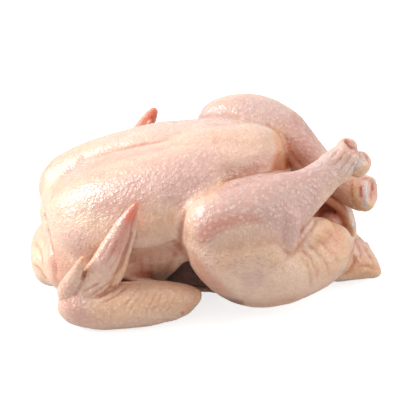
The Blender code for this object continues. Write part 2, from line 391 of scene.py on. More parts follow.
@dataclass
class Legs:
    """Both drumsticks, the web of skin from the near one to the breast, and the tail."""

    voxel: float = 2.0
    rounds: int = 4
    root_sections: int = 5     # how much of each drumstick lies in the soft layer
    body_sections: int = 8     # how much of each drumstick the body's skin covers, the rest being hocks
    far_cut: Cut = Cut((173, 4, 101), (0.87, -0.42, 0.27), 1.6, 24)
    near: Muscle = Muscle("near_drumstick", (
        (2, -86, 110, 17, 20, 20, -30), (15, -85, 113, 26, 25, 28, -30), (38, -80, 117, 28, 28, 36, -30),
        (66, -71, 122, 24, 27, 38, -30), (86, -62, 127, 19, 25, 34, -30), (102, -53, 132, 15, 21, 25, -30),
        (116, -43, 138, 13, 17, 18, -25), (132, -31, 147, 14, 18, 17, -20), (144, -23, 153, 15, 18, 16, 0),
        (150, -20, 154, 12, 13, 12, 0)))
    upper_condyle: Muscle = Muscle("upper_condyle", (
        (133, -32, 157, 11, 9, 9), (142, -26, 163, 11, 10, 10), (144, -13, 163, 10, 9, 9)))
    lower_condyle: Muscle = Muscle("lower_condyle", (
        (150, -31, 147, 13, 13, 13), (158, -16, 149, 12, 12, 12)))
    calf: Muscle = Muscle("near_calf", (
        (56, -70, 122, 20, 30, 12), (70, -76, 111, 17, 33, 10), (82, -81, 100, 12, 29, 8),
        (90, -85, 92, 7, 17, 5), (95, -87, 88, 4, 6, 4)), up=TO_THE_REAR)
    web: Muscle = Muscle("web", (
        (10, -78, 130, 9, 6, 10), (22, -70, 136, 7, 4, 9), (29, -61, 141, 5, 3, 9),
        (34, -53, 144, 3, 2, 8)))
    far: Muscle = Muscle("far_drumstick", (
        (-2, 80, 132, 20, 22, 22), (16, 78, 136, 30, 33, 34), (50, 74, 141, 33, 37, 40),
        (80, 64, 134, 27, 33, 44), (99, 52, 126, 20, 26, 40), (118, 36, 114, 16, 17, 24),
        (140, 22, 105, 14, 15, 16), (158, 12, 99, 17, 20, 20), (176, 6, 98, 17, 19, 20)), end=BLUNT_END)
    tail: Muscle = Muscle("tail", (
        (130, 0, 27, 34, 26, 22), (150, 0, 28, 31, 30, 24), (166, 0, 22, 24, 24, 18),
        (180, 0, 14, 14, 12, 10), (189, 0, 10, 6, 5, 6)))

    def roots(self) -> list[Muscle]:
        """Return the thick parts of the drumsticks, which the soft layer blends into the thighs."""
        return [Muscle("root", limb.sections[:self.root_sections]) for limb in (self.near, self.far)]

    def add_to(self, body: bpy.types.Object, others: list[Muscle]) -> bpy.types.Object:
        """Lay the limbs, and what else is given, on the body.

        Args:
            body: the body with its vent, which is used up.
            others: further muscles to fuse on.

        Returns:
            The body with its limbs, in mm.
        """
        limbs = [Muscle("limb", limb.sections[:end]) for limb, end in (
            (self.near, self.body_sections), (self.far, self.body_sections - 1))]
        parts = [body, *limbs, self.calf, self.web, self.tail, *others]
        return fuse("with_legs", parts, self.voxel, self.rounds)


@dataclass
class Wing:
    """One wing, folded flat: forearm on the floor, hand and thumb pointing back and up."""

    voxel: float = 1.1
    rounds: int = 4
    far_flap_shift: tuple[float, float, float] = (-10, 4, 12)
    forearm: Muscle = Muscle("forearm", (
        (7, -90, 33, 6, 6, 7), (-4, -90, 31, 13, 12, 17), (-18, -91, 27, 18, 19, 22),
        (-45, -96, 24, 22, 23, 23), (-82, -104, 23, 22, 23, 23), (-109, -106, 27, 20, 22, 25),
        (-120, -106, 34, 14, 18, 20)))
    hand: Muscle = Muscle("hand", (
        (-104, -107, 36, 13, 17, 16), (-90, -106, 56, 9, 15, 14), (-78, -103, 80, 8, 12, 12),
        (-64, -96, 107, 6, 9, 9), (-51, -90, 131, 4, 4, 4)), up=ALONG_BODY)
    far_hand: Muscle = Muscle("far_hand", (
        (-108, 108, 38, 13, 15, 15), (-97, 110, 64, 9, 14, 13), (-84, 107, 92, 8, 13, 13),
        (-70, 103, 123, 6, 11, 10), (-58, 100, 143, 4, 5, 5)), up=ALONG_BODY)
    thumb: Muscle = Muscle("thumb", (
        (-118, -105, 34, 12, 14, 14), (-113, -109, 52, 9, 10, 10), (-106, -112, 68, 5.5, 6, 6),
        (-99, -112, 85, 1.5, 2, 2)), up=ALONG_BODY)
    flap: Muscle = Muscle("flap", (
        (-52, -89, 120, 3, 3, 4), (-55, -91, 105, 3, 4, 6), (-59, -93, 91, 3.5, 5, 8),
        (-64, -96, 76, 4, 6, 9), (-70, -99, 60, 5, 7, 10), (-78, -101, 48, 6, 8, 10)), up=ALONG_BODY)

    def build(self, side: int) -> bpy.types.Object:
        """Build the wing of one side, in mm.

        Args:
            side: NEAR or FAR.

        Returns:
            The fused wing.
        """
        forearm, hand, thumb, flap = self.forearm, self.hand, self.thumb, self.flap
        if side == FAR:
            forearm, thumb = forearm.mirrored(), thumb.mirrored()
            hand = self.far_hand
            flap = flap.mirrored().moved(self.far_flap_shift)
        return fuse("wing", [forearm, hand, thumb, flap], self.voxel, self.rounds)


# --------------------------------------------------------------------------- the eye

@dataclass
class Eye:
    """The camera, and the rays that carry a view place on to the bird."""

    azimuth: float = 5.0
    elevation: float = 29.0
    distance: float = 0.965
    lens: float = 85.0
    sensor: float = 36.0
    side: int = 400
    target: Vector = field(default_factory=lambda: (Vector((0, 0, 88)) + PLACE) * MM)

    def back(self) -> Vector:
        """Direction from the bird to the camera."""
        a, e = math.radians(self.azimuth), math.radians(self.elevation)
        return Vector((math.sin(a) * math.cos(e), -math.cos(a) * math.cos(e), math.sin(e)))

    def place(self) -> Vector:
        """Where the camera stands."""
        return self.target + self.back() * self.distance

    def ray(self, x: float, y: float) -> Vector:
        """Direction in which the camera sees one place of its square view.

        Args:
            x: places from the left edge.
            y: places from the upper edge.

        Returns:
            A vector of length 1.
        """
        right = Vector((math.cos(math.radians(self.azimuth)), math.sin(math.radians(self.azimuth)), 0))
        up = self.back().cross(right)
        scale = self.sensor / self.lens / self.side
        half = self.side / 2
        return (right * (x - half) * scale + up * (half - y) * scale - self.back()).normalized()

    def project(self, points: np.ndarray) -> np.ndarray:
        """Return where each point, in metres, lies in the square view.

        Args:
            points: one row for each point.

        Returns:
            One row of two view places for each point.
        """
        back = self.back()
        right = Vector((math.cos(math.radians(self.azimuth)), math.sin(math.radians(self.azimuth)), 0))
        away = points - np.array(self.place())
        depth = -(away @ np.array(back)) * self.sensor / self.lens / self.side
        across, over = away @ np.array(right), away @ np.array(back.cross(right))
        return np.stack((self.side / 2 + across / depth, self.side / 2 - over / depth), axis=1)

    def build(self) -> None:
        """Make the camera and look through it."""
        data = bpy.data.cameras.new("camera")
        data.lens = self.lens
        data.sensor_width = self.sensor
        camera = bpy.data.objects.new("camera", data)
        bpy.context.scene.collection.objects.link(camera)
        camera.location = self.place()
        camera.rotation_mode = "QUATERNION"
        camera.rotation_quaternion = (-self.back()).to_track_quat("-Z", "Y")
        bpy.context.scene.camera = camera


# --------------------------------------------------------------------------- carving and painting

class Relief(Enum):
    """How a stroke changes the skin along its line."""

    GROOVE = "groove"
    RIDGE = "ridge"
    LEDGE = "ledge"


class Tissue(Enum):
    """What the skin is painted with, each a mask stored on the mesh: tissue that shows through, and painted
    shade in folds and under the body.
    """

    PINK = "pink"
    LILAC = "lilac"
    FAT = "fat"
    YOLK = "yolk"
    CORAL = "coral"
    RAW = "raw"
    GRISTLE = "gristle"
    # painted shade: dark brown laid where shade falls under the body
    SHADE = "shade"
    # painted shade that darkens folds, creases and hollows
    CREASE = "crease"
    WET = "wet"
    PIMPLED = "pimpled"
    STREAKED = "streaked"


@dataclass(frozen=True)
class Stroke:
    """One fold, crease or roll, drawn along a line of view places.

    A ledge lowers the side that lies to the right of the way the line runs.
    """

    name: str
    relief: Relief
    line: Pixels
    width: float
    depth: float
    reach: float = 12.0
    # how strongly the stroke's line is painted with crease shade
    tint: float = 0.0
    mirror: bool = False


def folds(name: str, width: float, tint: float, lines: tuple, mirror: bool = False) -> tuple[Stroke, ...]:
    """Return grooves that run side by side.

    Args:
        name: what they are, which a number is added to.
        width: width of each groove, in mm.
        tint: how strongly they are painted with crease shade.
        lines: for each groove, its depth in mm and its line of view places.
        mirror: True where they are on both sides of the bird.

    Returns:
        The strokes, in order.
    """
    return tuple(Stroke(f"{name}_{number}", Relief.GROOVE, line, width, depth, tint=tint, mirror=mirror)
                 for number, (depth, line) in enumerate(lines, 1))


@dataclass(frozen=True)
class Patch:
    """Some tissue, or painted shade, showing round a line of view places."""

    tissue: Tissue
    line: Pixels
    reach: float
    amount: float
    mirror: bool = False


@dataclass(frozen=True)
class Region:
    """Some tissue, or painted shade, that fills an outline of view places, and how deep it is pressed in,
    in mm.
    """

    tissue: Tissue
    amount: float
    soft: float              # width of its blurred edge, in view places
    outline: Pixels
    depth: float = 0.0
    within: float = 200.0    # how far from the bird's middle it may reach, in mm
    mirror: bool = True


def smoothstep(edge: float, values: np.ndarray) -> np.ndarray:
    """Ease from 0 at 0 to 1 at the edge."""
    t = np.clip(values / edge, 0, 1)
    return t * t * (3 - 2 * t)


class Skin:
    """A mesh as arrays that strokes carve and patches paint, in metres."""

    SAMPLE = 1.5             # distance in the view between the points of a traced line
    END_FADE = 0.22          # part of a stroke's length that fades in and out
    SEEN_ROOM = 0.004        # how far behind the first surface a point may lie and still be seen
    TWIN_ROOM = 0.020        # the same for the side that the eye doesn't see
    CREASE_ROUNDS = 3        # how widely a point is set against its surroundings to find a fold
    BLUR_ROUNDS = 2          # how far the edge of a mask is softened
    PATCH_ROOM = 2.2         # how many times its reach a patch still shows
    STROKE_ROOM = 3          # how many times its width a stroke still shows

    def __init__(self, thing: bpy.types.Object, eye: Eye, twin: Skin | None = None) -> None:
        """Take over an object that is in mm, and put it in its place in metres.

        Args:
            thing: the object, which the skin now owns.
            eye: the camera whose view the strokes and patches are given in.
            twin: the same limb on the near side, where this one is hidden from the eye.
        """
        self.thing, self.eye, self.twin = thing, eye, twin
        thing.data.transform(Matrix.Scale(MM, 4) @ Matrix.Translation(PLACE))
        mesh = thing.data
        self.count = len(mesh.vertices)
        self.points = np.empty(self.count * 3)
        mesh.vertices.foreach_get("co", self.points)
        self.points = self.points.reshape(-1, 3)
        ends = np.empty(len(mesh.edges) * 2, dtype=np.int64)
        mesh.edges.foreach_get("vertices", ends)
        self.edges = ends.reshape(-1, 2)
        self.degree = np.maximum(np.bincount(self.edges.ravel(), minlength=self.count), 1)
        self.masks = {tissue: np.zeros(self.count) for tissue in Tissue}
        self.plant()
        self.views: dict[bool, tuple[np.ndarray, np.ndarray]] = {}
        self.refresh()

    def plant(self) -> None:
        """Take the mesh as it stands for what lines of sight meet."""
        mesh = self.thing.data
        corners = [Vector(point) for point in self.points]
        self.tree = BVHTree.FromPolygons(corners, [face.vertices for face in mesh.polygons])

    def refresh(self) -> None:
        """Write the points to the mesh and read its normals."""
        mesh = self.thing.data
        mesh.vertices.foreach_set("co", self.points.ravel())
        mesh.update()
        self.normals = np.empty(self.count * 3)
        mesh.vertices.foreach_get("normal", self.normals)
        self.normals = self.normals.reshape(-1, 3)

    def spread(self, values: np.ndarray, rounds: int) -> np.ndarray:
        """Average a value, or a vector, with its neighbours some times over.

        Args:
            values: one value, or one row, for each point.
            rounds: how many times.

        Returns:
            The averaged values.
        """
        for _ in range(rounds):
            total = np.zeros_like(values)
            np.add.at(total, self.edges[:, 0], values[self.edges[:, 1]])
            np.add.at(total, self.edges[:, 1], values[self.edges[:, 0]])
            degree = self.degree if values.ndim == 1 else self.degree[:, None]
            values = 0.5 * values + 0.5 * total / degree
        return values

    def trace(self, line: Pixels, mirror: bool = False) -> np.ndarray:
        """Carry a line of view places on to the skin.

        Args:
            line: the places, joined by straight steps.
            mirror: True for the same line on the other side of the bird.

        Returns:
            Points on the skin, closely spaced, one row each.
        """
        spots = []
        here = self.eye.place()
        seen = self.twin.tree if self.twin else self.tree
        for (x0, y0), (x1, y1) in zip(line, line[1:] or line):
            steps = max(1, round(math.hypot(x1 - x0, y1 - y0) / self.SAMPLE))
            for k in range(steps + 1):
                t = k / steps
                hit = seen.ray_cast(here, self.eye.ray(x0 + (x1 - x0) * t, y0 + (y1 - y0) * t))[0]
                if hit is None:
                    continue
                if mirror:
                    hit = self.tree.find_nearest(Vector((hit.x, 2 * PLACE.y * MM - hit.y, hit.z)))[0]
                spots.append(hit)
        return np.array(spots).reshape(-1, 3)

    def sides(self, mirror: bool) -> tuple[bool, ...]:
        """Say on which sides a line is traced, False for the near one and True for the far one.

        Args:
            mirror: whether the line belongs on both sides.

        Returns:
            The sides in order.
        """
        if self.twin:
            return (True,)
        return (False, True) if mirror else (False,)

    def near(self, path: np.ndarray, reach: float) -> tuple[np.ndarray, np.ndarray, np.ndarray]:
        """Find the points of the skin that lie near a path.

        Args:
            path: points of the path.
            reach: how far to look, in metres.

        Returns:
            The indices of those points, their distances, and the nearest path point of each.
        """
        low, high = path.min(0) - reach, path.max(0) + reach
        chosen = np.nonzero(((self.points > low) & (self.points < high)).all(1))[0]
        best = np.full(len(chosen), np.inf)
        which = np.zeros(len(chosen), dtype=int)
        for i, spot in enumerate(path):
            gap = np.linalg.norm(self.points[chosen] - spot, axis=1)
            closer = gap < best
            best[closer], which[closer] = gap[closer], i
        kept = best < reach
        return chosen[kept], best[kept], which[kept]

    def carve(self, stroke: Stroke) -> None:
        """Press one stroke into the skin, or raise it.

        Args:
            stroke: the fold, crease or roll.
        """
        for mirror in self.sides(stroke.mirror):
            path = self.trace(stroke.line, mirror)
            if len(path) < 2:
                log.warning("stroke %s misses the skin", stroke.name)
                continue
            width, reach = stroke.width * MM, stroke.reach * MM
            chosen, gap, which = self.near(path, max(self.STROKE_ROOM * width, reach))
            along = which / (len(path) - 1)
            fade = smoothstep(self.END_FADE, along) * smoothstep(self.END_FADE, 1 - along)
            ridge = np.exp(-(gap / width) ** 2)
            if stroke.relief is Relief.LEDGE:
                heading = np.gradient(path, axis=0)[which]
                right = np.cross(heading, self.normals[chosen]) * (-1 if mirror else 1)
                right /= np.maximum(np.linalg.norm(right, axis=1, keepdims=True), 1e-9)
                beside = np.einsum("ij,ij->i", self.points[chosen] - path[which], right)
                height = -smoothstep(width, beside) * (1 - smoothstep(reach, beside - width))
            else:
                height = ridge if stroke.relief is Relief.RIDGE else -ridge
            self.points[chosen] += self.normals[chosen] * (height * fade * stroke.depth * MM)[:, None]
            # paint crease shade along the stroke's line, as strong as its tint
            shade = self.masks[Tissue.CREASE]
            shade[chosen] = np.maximum(shade[chosen], ridge * fade * stroke.tint)

    def paint(self, patch: Patch) -> None:
        """Lay some tissue round a line, or thin it there where the amount is below 0.

        Args:
            patch: the tissue, its line, reach and amount.
        """
        for mirror in self.sides(patch.mirror):
            path = self.trace(patch.line, mirror)
            if not len(path):
                log.warning("a patch of %s misses the skin", patch.tissue.value)
                continue
            chosen, gap, _ = self.near(path, self.PATCH_ROOM * patch.reach * MM)
            strength = np.exp(-(gap / (patch.reach * MM)) ** 2) * patch.amount
            mask = self.masks[patch.tissue]
            if patch.amount < 0:
                mask[chosen] = np.clip(mask[chosen] + strength, 0, None)
            else:
                mask[chosen] = np.maximum(mask[chosen], strength)

    def view(self, mirror: bool) -> tuple[np.ndarray, np.ndarray]:
        """Return where each point lies in the view, and which ones the eye sees, once for each side.

        Args:
            mirror: True to look at the far side as if it were the near one.

        Returns:
            The view places, and whether each point is seen.
        """
        if mirror not in self.views:
            turned = self.points * (1, -1 if mirror else 1, 1) + (0, 2 * PLACE.y * MM if mirror else 0, 0)
            here = self.eye.place()
            room = self.TWIN_ROOM if mirror else self.SEEN_ROOM
            tree = self.twin.tree if self.twin else self.tree
            seen = np.zeros(self.count, dtype=bool)
            for i, spot in enumerate(turned):
                ray = Vector(spot) - here
                hit = tree.ray_cast(here, ray)
                seen[i] = hit[0] is None or hit[3] > ray.length - room
            self.views[mirror] = self.eye.project(turned), seen
        return self.views[mirror]

    def cover(self, region: Region, mirror: bool) -> np.ndarray:
        """Say how far each point lies in a region, from 0 to 1.

        Args:
            region: the region.
            mirror: True for its counterpart on the far side.

        Returns:
            One share for each point.
        """
        spots, seen = self.view(mirror)
        corners = np.array(region.outline, dtype=float)
        low, high = corners.min(0), corners.max(0)
        seen = seen & (np.abs(self.points[:, 1]) < region.within * MM)
        chosen = np.nonzero(seen & ((spots > low) & (spots < high)).all(1))[0]
        spots = spots[chosen]
        inside = np.zeros(len(chosen), dtype=bool)
        gap = np.full(len(chosen), np.inf)
        for start, end in zip(corners, np.roll(corners, -1, axis=0)):
            step = end - start
            crossing = (start[1] > spots[:, 1]) != (end[1] > spots[:, 1])
            where = start[0] + (spots[:, 1] - start[1]) * step[0] / (step[1] or 1e-9)
            inside ^= crossing & (spots[:, 0] < where)
            along = np.clip((spots - start) @ step / (step @ step), 0, 1)
            gap = np.minimum(gap, np.linalg.norm(spots - start - along[:, None] * step, axis=1))
        mask = np.zeros(self.count)
        mask[chosen] = smoothstep(region.soft, gap) * inside
        return mask

    def press(self, region: Region) -> None:
        """Press a region of the skin in.

        Args:
            region: the region, with its depth.
        """
        for mirror in self.sides(region.mirror):
            mask = self.spread(self.cover(region, mirror), self.BLUR_ROUNDS)
            self.points -= self.normals * (mask * region.depth * MM)[:, None]

    def flood(self, region: Region) -> None:
        """Lay some tissue over a region."""
        for mirror in self.sides(region.mirror):
            self.fill(region.tissue, self.cover(region, mirror) * region.amount)

    def undulate(self, size: float, depth: float, seed: float) -> None:
        """Give the skin soft unevenness.

        Args:
            size: distance between swellings, in mm.
            depth: how far they stand out, in mm.
            seed: shifts the pattern.
        """
        shift = Vector((seed, -seed, 2 * seed))
        waves = np.array([noise.noise(Vector(p) / (size * MM) + shift) for p in self.points])
        self.points += self.normals * (waves * depth * MM)[:, None]

    def swell(self, swellings: Swellings) -> None:
        """Give the skin every kind of unevenness in turn, and read it again."""
        for size, depth, seed in swellings:
            self.undulate(size, depth, seed)
        self.refresh()

    def fold(self, strokes: tuple[Stroke, ...]) -> None:
        """Carve strokes one after another, and read the skin again."""
        for stroke in strokes:
            self.carve(stroke)
        self.refresh()

    def shade_creases(self, gain: float) -> None:
        """Find where the skin folds in, and paint crease shade there.

        Args:
            gain: how much painted crease shade each mm of hollow makes.
        """
        inward = self.spread(self.points, self.CREASE_ROUNDS) - self.points
        hollow = np.einsum("ij,ij->i", inward, self.normals) / MM
        hollow = self.spread(np.clip(hollow * gain, 0, 1), self.BLUR_ROUNDS)
        self.fill(Tissue.CREASE, hollow)

    def drawn(self) -> np.ndarray:
        """Return the points in the section tables' units."""
        return self.points / MM - np.array(PLACE)

    def fill(self, tissue: Tissue, mask: np.ndarray) -> None:
        """Lay some tissue over every point by a mask."""
        self.masks[tissue] = np.maximum(self.masks[tissue], mask)

    def slice_flat(self, cut: Cut) -> None:
        """Cut a limb's end flat and dish the cut a little.

        Args:
            cut: where the cut lies and which way it faces.
        """
        middle = (np.array(cut.centre) + np.array(PLACE)) * MM
        normal = np.array(cut.facing) / np.linalg.norm(cut.facing)
        offset = self.points - middle
        ahead = offset @ normal
        beyond = (ahead > 0) & (np.linalg.norm(offset, axis=1) < cut.reach * MM)
        across = np.linalg.norm(offset - ahead[:, None] * normal, axis=1)
        sunk = cut.dish * MM * (1 - smoothstep(cut.reach * MM / 2, across))
        self.points[beyond] -= normal * (ahead + sunk)[beyond, None]

    def lie_flat(self) -> None:
        """Press what hangs below the floor flat on it."""
        self.points[:, 2] = np.maximum(self.points[:, 2], 0)

    def write(self) -> None:
        """Store the masks on the mesh."""
        self.refresh()
        for tissue, mask in self.masks.items():
            attribute = self.thing.data.attributes.new(tissue.value, "FLOAT", "POINT")
            attribute.data.foreach_set("value", np.clip(mask, 0, 1).astype(np.float32))


# --------------------------------------------------------------------------- follicles

@dataclass
class GooseFlesh:
    """Follicles spread over a skin as small pimples, by Geometry Nodes."""

    spacing: float = 4.4
    radius: float = 2.1
    height: float = 0.5
    seed: int = 7

    INPUTS = (("Spacing", "spacing"), ("Radius", "radius"), ("Height", "height"))

    def _tree(self, material: bpy.types.Material) -> bpy.types.NodeTree:
        """Build the tree that lifts a pimple round each follicle.

        Args:
            material: the finish that the tree sets.

        Returns:
            The Geometry Nodes tree.
        """
        tree = bpy.data.node_groups.new("goose_flesh", "GeometryNodeTree")
        face = tree.interface
        face.new_socket("Geometry", in_out="INPUT", socket_type="NodeSocketGeometry")
        for name, _ in self.INPUTS:
            face.new_socket(name, in_out="INPUT", socket_type="NodeSocketFloat")
        face.new_socket("Seed", in_out="INPUT", socket_type="NodeSocketInt")
        face.new_socket("Geometry", in_out="OUTPUT", socket_type="NodeSocketGeometry")
        wiring = Wiring(tree)
        given = wiring.add("NodeGroupInput").outputs
        density = wiring.math("DIVIDE", 3.0, wiring.math("MULTIPLY", given["Spacing"], given["Spacing"]))
        points = wiring.add("GeometryNodeDistributePointsOnFaces", {
            "Mesh": given["Geometry"], "Distance Min": given["Spacing"], "Density Max": density,
            "Seed": given["Seed"]}, distribute_method="POISSON").outputs["Points"]
        gap = wiring.add("GeometryNodeProximity", {"Geometry": points}, target_element="POINTS")
        dome = wiring.add("ShaderNodeMapRange", {
            "Value": gap.outputs["Distance"], "From Min": 0.0, "From Max": given["Radius"],
            "To Min": 1.0, "To Max": 0.0}, interpolation_type="SMOOTHSTEP").outputs["Result"]
        mask = wiring.add(
            "GeometryNodeInputNamedAttribute", {"Name": Tissue.PIMPLED.value}, data_type="FLOAT")
        pimple = wiring.math("MULTIPLY", dome, mask.outputs["Attribute"])
        normal = wiring.add("GeometryNodeInputNormal").outputs["Normal"]
        lift = wiring.add("ShaderNodeVectorMath", {
            0: normal, "Scale": wiring.math("MULTIPLY", pimple, given["Height"])}, operation="SCALE")
        raised = wiring.add("GeometryNodeSetPosition", {
            "Geometry": given["Geometry"], "Offset": lift.outputs["Vector"]})
        real = wiring.add("GeometryNodeRealizeInstances", {"Geometry": raised.outputs["Geometry"]})
        dressed = wiring.add("GeometryNodeSetMaterial", {
            "Geometry": real.outputs["Geometry"], "Material": material})
        wiring.add("NodeGroupOutput", {"Geometry": dressed.outputs["Geometry"]})
        return tree

    def grow(self, thing: bpy.types.Object, material: bpy.types.Material) -> bpy.types.Object:
        """Pimple an object's skin.

        Args:
            thing: the object in metres, which is used up.
            material: the finish that its skin gets.

        Returns:
            A new object of the same name, with a plain mesh.
        """
        tree = self._tree(material)
        modifier = thing.modifiers.new("goose_flesh", "NODES")
        modifier.node_group = tree
        sockets = {item.name: item.identifier
                   for item in tree.interface.items_tree if item.in_out == "INPUT"}
        for name, size in self.INPUTS:
            modifier[sockets[name]] = getattr(self, size) * MM
        modifier[sockets["Seed"]] = self.seed
        name = thing.name
        mesh = settle(thing)
        if not mesh.materials:
            mesh.materials.append(material)
        return add_object(name, mesh)


# --------------------------------------------------------------------------- finishes

class Wiring:
    """Adds nodes to one tree and links them."""

    def __init__(self, tree: bpy.types.NodeTree) -> None:
        """Work on a tree."""
        self.tree = tree

    def add(self, kind: str, sockets: dict | None = None, **settings: object) -> bpy.types.Node:
        """Add a node.

        Args:
            kind: the node's type.
            sockets: for each input by name or number, a value to set or an output to link.
            settings: properties of the node itself.

        Returns:
            The new node.
        """
        node = self.tree.nodes.new(kind)
        for name, value in settings.items():
            setattr(node, name, value)
        for key, value in (sockets or {}).items():
            if isinstance(value, bpy.types.NodeSocket):
                self.tree.links.new(value, node.inputs[key])
            else:
                node.inputs[key].default_value = value
        return node

    def math(self, operation: str, first: object, second: object = 0.0) -> bpy.types.NodeSocket:
        """Add a Math node and return what it works out."""
        return self.add("ShaderNodeMath", {0: first, 1: second}, operation=operation).outputs["Value"]

    def blend(self, share: object, under: object, over: object, mode: str = "MIX") -> bpy.types.NodeSocket:
        """Lay one colour over another by a share."""
        node = self.add("ShaderNodeMix", {0: share, 6: under, 7: over}, data_type="RGBA", blend_type=mode)
        return node.outputs[2]

    def mask(self, name: str) -> bpy.types.NodeSocket:
        """Read a mask that is stored on the mesh."""
        return self.add("ShaderNodeAttribute", attribute_name=name).outputs["Fac"]

    def group(self, tree: bpy.types.NodeTree, sockets: dict) -> bpy.types.NodeSocket:
        """Place a shared group and return its first output."""
        return self.add("ShaderNodeGroup", sockets, node_tree=tree).outputs[0]


def tone(red: int, green: int, blue: int) -> tuple[float, float, float, float]:
    """Turn a display colour, 0 to 255, into the linear one that shaders take."""
    parts = [c / 255 for c in (red, green, blue)]
    return (*(c / 12.92 if c <= 0.04045 else ((c + 0.055) / 1.055) ** 2.4 for c in parts), 1.0)


def grey(level: float) -> tuple[float, float, float, float]:
    """Return a linear grey."""
    return (level, level, level, 1.0)


@dataclass
class SharedEffects:
    """The shader groups that more than one finish uses."""

    @staticmethod
    def _start(name: str, inputs: dict[str, float],
               output: str) -> tuple[Wiring, dict, bpy.types.NodeTree]:
        """Make an empty group with a coordinate input, some number inputs and one output.

        Args:
            name: name of the group.
            inputs: name and first value of each number input.
            output: name of the output.

        Returns:
            A wiring for the group, its given inputs, and the group.
        """
        tree = bpy.data.node_groups.new(name, "ShaderNodeTree")
        tree.interface.new_socket("Place", in_out="INPUT", socket_type="NodeSocketVector")
        for label, value in inputs.items():
            socket = tree.interface.new_socket(label, in_out="INPUT", socket_type="NodeSocketFloat")
            socket.default_value = value
        tree.interface.new_socket(output, in_out="OUTPUT", socket_type="NodeSocketFloat")
        wiring = Wiring(tree)
        return wiring, wiring.add("NodeGroupInput").outputs, tree

    def mottle(self) -> bpy.types.NodeTree:
        """Soft blotches as a mask from 0 to 1."""
        wiring, given, tree = self._start("mottle", {"Scale": 60.0, "Low": 0.4, "High": 0.62}, "Mask")
        cloud = wiring.add("ShaderNodeTexNoise", {
            "Vector": given["Place"], "Scale": given["Scale"], "Detail": 3.0, "Distortion": 0.4})
        mask = wiring.add("ShaderNodeMapRange", {
            "Value": cloud.outputs["Fac"], "From Min": given["Low"], "From Max": given["High"]})
        wiring.add("NodeGroupOutput", {"Mask": mask.outputs["Result"]})
        return tree

    def grain(self) -> bpy.types.NodeTree:
        """The fine creased grain of wet skin, as a height."""
        wiring, given, tree = self._start("grain", {"Creases": 170.0, "Pores": 800.0}, "Height")
        creases = wiring.add("ShaderNodeTexNoise", {
            "Vector": given["Place"], "Scale": given["Creases"], "Detail": 2.0})
        pores = wiring.add("ShaderNodeTexNoise", {
            "Vector": given["Place"], "Scale": given["Pores"], "Detail": 2.0})
        folds = wiring.math("MULTIPLY", creases.outputs["Fac"], 0.6)
        height = wiring.math("ADD", wiring.math("MULTIPLY", pores.outputs["Fac"], 0.25), folds)
        wiring.add("NodeGroupOutput", {"Height": height})
        return tree

    def pebbles(self) -> bpy.types.NodeTree:
        """The round tops of follicles, uneven in size and place, as a mask from 0 to 1."""
        wiring, given, tree = self._start("pebbles", {"Scale": 205.0, "Bend": 0.9}, "Mask")
        wide = wiring.math("MULTIPLY", given["Scale"], 0.5)
        cloud = wiring.add("ShaderNodeTexNoise", {"Vector": given["Place"], "Scale": wide, "Detail": 2.0})
        grown = wiring.add("ShaderNodeVectorMath", {
            0: given["Place"], "Scale": given["Scale"]}, operation="SCALE")
        shift = wiring.add("ShaderNodeVectorMath", {
            0: cloud.outputs["Color"], "Scale": given["Bend"]}, operation="SCALE")
        bent = wiring.add("ShaderNodeVectorMath", {
            0: grown.outputs["Vector"], 1: shift.outputs["Vector"]}, operation="ADD")
        cells = wiring.add("ShaderNodeTexVoronoi", {"Vector": bent.outputs["Vector"], "Scale": 1.0})
        tops = wiring.add("ShaderNodeMapRange", {
            "Value": cells.outputs["Distance"], "From Min": 0.08, "From Max": 0.62,
            "To Min": 1.0, "To Max": 0.0}, interpolation_type="SMOOTHSTEP").outputs["Result"]
        strength = wiring.add("ShaderNodeMapRange", {
            "Value": cloud.outputs["Fac"], "From Min": 0.1, "From Max": 0.6}).outputs["Result"]
        wiring.add("NodeGroupOutput", {"Mask": wiring.math("MULTIPLY", tops, strength)})
        return tree


